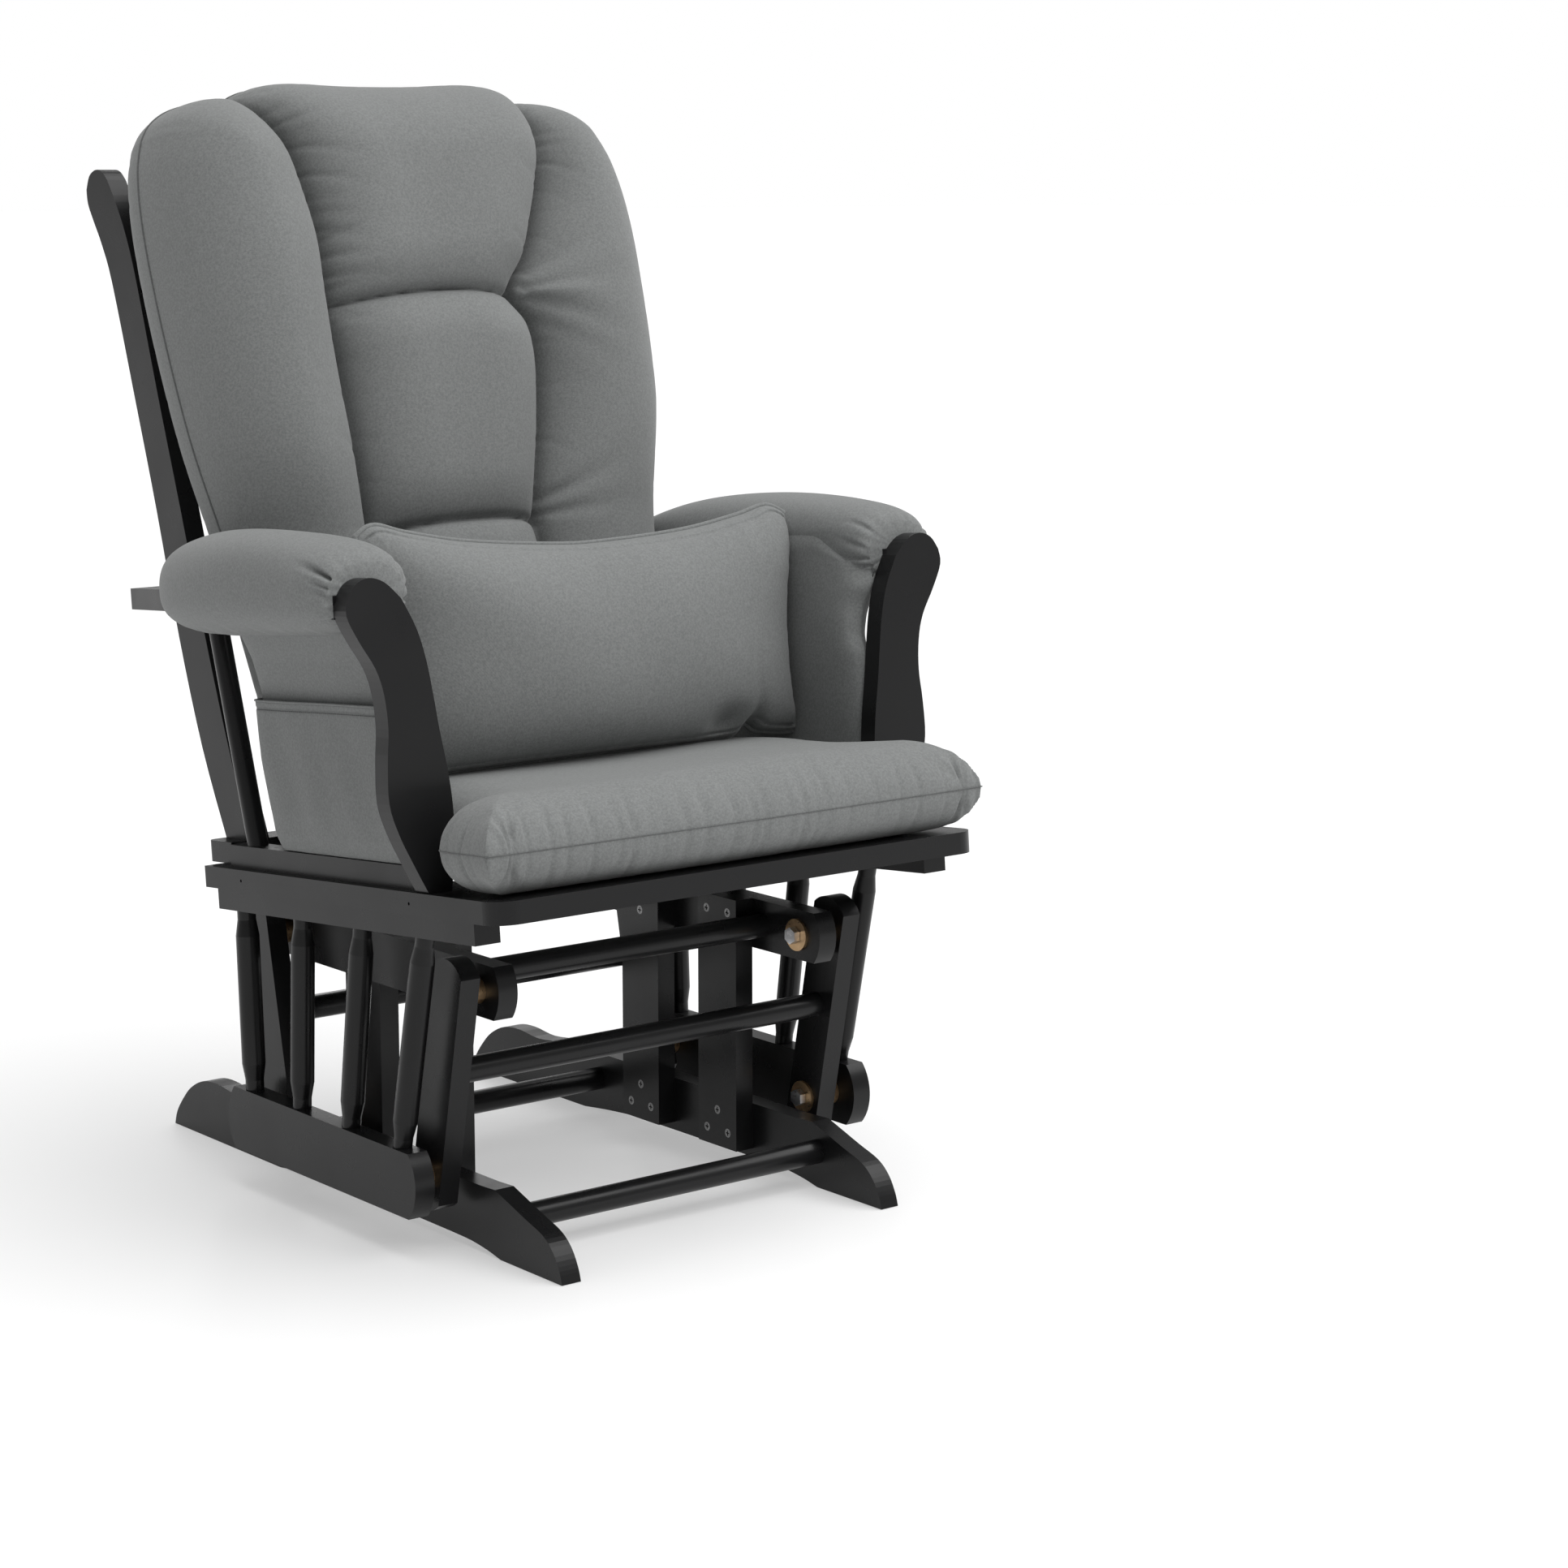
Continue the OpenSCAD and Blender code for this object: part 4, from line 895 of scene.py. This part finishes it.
def panel_ring(w, turn):
    """One level ring round the panel: a flat oval with a rounded rear edge and a thinner front edge."""
    outer, inner, rear = (float(q) for q in panel_edges(w))
    front = PANEL_FRONT + 0.0095 * math.exp(-((w - 0.203) / 0.026) ** 4)
    mid, half = (outer + inner) / 2, (outer - inner) / 2
    length = (rear - front) / 2
    v = front + length + length * squared(np.cos(turn), 9.0)
    x = mid + half * np.sin(turn)
    x = mid + (x - mid) * np.sqrt(np.clip(1 - rise(v, rear - half, half) ** 2, 0, 1))
    round_front = fall(v, front + half * 0.6, half * 0.6)
    x = mid + (x - mid) * (0.35 + 0.65 * np.sqrt(np.clip(1 - round_front ** 2, 0, 1)))
    if w > 0.195:
        # the inner face swells out over the pad's side and then sinks into it
        sunk = 0.0012 - 0.007 * rise(w, 0.272, 0.028) ** 1.5
        sunk = sunk - 0.010 * rise(v, 0.055, 0.045) ** 2
        sunk = sunk - 0.014 * fall(v, -0.138, 0.025) ** 2 * rise(w, 0.235, 0.02)
        over = pad_inner(v, np.full_like(v, max(w, 0.272))) - sunk
        share = rise(w, 0.195, 0.077)
        share = share * share * (3 - 2 * share)
        x = np.where(x < mid, (1 - share) * x + share * over, x + (mid - x) * rise(w, 0.246, 0.012))
    return np.stack([x, v, np.full(len(turn), w)], -1)


def arm_cover(side):
    """The fabric panel under an arm's pad: its inner face runs up over the pad's side in one piece."""
    turn = np.linspace(0, 2 * np.pi, 170, endpoint=False)
    rings = np.array([panel_ring(w, turn) for w in np.linspace(PANEL_FOOT, PANEL_TOP, 94)])
    x, v, w = rings[..., 0], rings[..., 1], rings[..., 2]
    soft = 0.0018 * soft_noise(np.stack([v, w], -1), 0.085, 41) + 0.0012 * np.sin(w * 46 + 4 * v)
    inside = rise(w, PANEL_FOOT, 0.02) * rise(v, PANEL_FRONT, 0.03) * fall(w, 0.24, 0.05)
    outer, inner, _ = panel_edges(w)
    rings[..., 0] += np.where(x > (outer + inner) / 2, 0.35, -1.0) * soft * inside
    # near the post's head the top folds down inside the pad
    rings[..., 2] -= 0.85 * np.clip(w - 0.258, 0, 1) * fall(v, -0.110, 0.035)
    rings[..., 0] *= SIGN[side]
    obj = loft(side + "_arm_cover_soft", deck(rings))
    place(obj, "seat", "arm_fabric", (side + "_arm_cover",), 0.3)


def cloth(name, outer, inner):
    """A thin closed sheet between two grids of points in the frame, whose rims are joined."""
    nu, nv = outer.shape[:2]
    index = np.arange(nu * nv).reshape(nu, nv)
    back = index + nu * nv
    rim = np.concatenate([index[:, 0], index[-1, 1:], index[::-1, -1][1:], index[0, ::-1][1:-1]])
    back_rim = rim + nu * nv
    sides = np.stack([rim, back_rim, np.roll(back_rim, -1), np.roll(rim, -1)], -1)
    verts = np.concatenate([outer.reshape(-1, 3), inner.reshape(-1, 3)])
    faces = np.concatenate([grid_quads(index), grid_quads(back)[:, [0, 3, 2, 1]], sides])
    obj = new_object(name, verts, faces, FABRIC)
    fix_normals(obj)
    return obj


def pocket(side):
    """A flat pouch on the outside of an arm's panel: thin cloth, bound at the top and open there."""
    mirror = [SIGN[side], 1, 1]
    u = np.linspace(0, 1, 121)[:, None]
    t = np.linspace(0, 1, 61)[None]
    w = POCKET_FOOT + (POCKET_TOP - POCKET_FOOT) * t
    rear = np.interp(w, [0.0215, 0.040, 0.070, 0.110, 0.165], [0.082, 0.089, 0.095, 0.099, 0.099])
    v = POCKET_FRONT + (rear - POCKET_FRONT) * u
    w = w + np.zeros_like(v)
    bulge = 0.0062 * dome(np.minimum(v - POCKET_FRONT, rear - v), 0.034, 2.0) * rise(t, 0, 0.12) ** 0.5
    ease = 0.0013 * soft_noise(np.stack([v, w], -1), 0.06, 61) * rise(t, 0, 0.25)
    x = panel_edges(w)[0] + 0.0018 + bulge + ease
    x = x - 0.0009 * bell(w - 0.158, 0.0012)
    # the cloth turns round the panel's rear edge
    x = x - 0.0150 * rise(u, 0.955, 0.045) ** 2
    outer = np.stack([x, v, w], -1)
    inner = outer - [POCKET_CLOTH, 0, 0]
    obj = cloth(side + "_pocket_cloth", deck(outer * mirror), deck(inner * mirror))
    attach(obj, "seat")
    edge = (outer[:, -1] + [0.0002, 0, 0]) * mirror
    hem = cord_along(side + "_pocket_hem", deck(edge[::2]), 0.0011, FABRIC)
    place(hem, "seat", "arm_fabric")
    row = outer[3:-6, -1] * [1, 1, 0] + [0.0012, 0, POCKET_TOP - 0.0085]
    row[:, 0] -= 0.0008
    seam = stitches(side + "_pocket_stitching", deck(row * mirror), (SIGN[side], 0, 0),
                    STITCH, STITCH_GAP, STITCH_R)
    place(seam, "seat", "arm_fabric")
    return obj, hem, seam


def pockets():
    pieces = [pocket(side) for side in SIGN]
    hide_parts("side_pockets")


camera()
floor_plane()
backdrop()
lights()
finish_cad()
back_cushion()
seat_cushion()
lumbar_pillow()
for side in SIGN:
    arm_pad(side)
    arm_cover(side)
pockets()
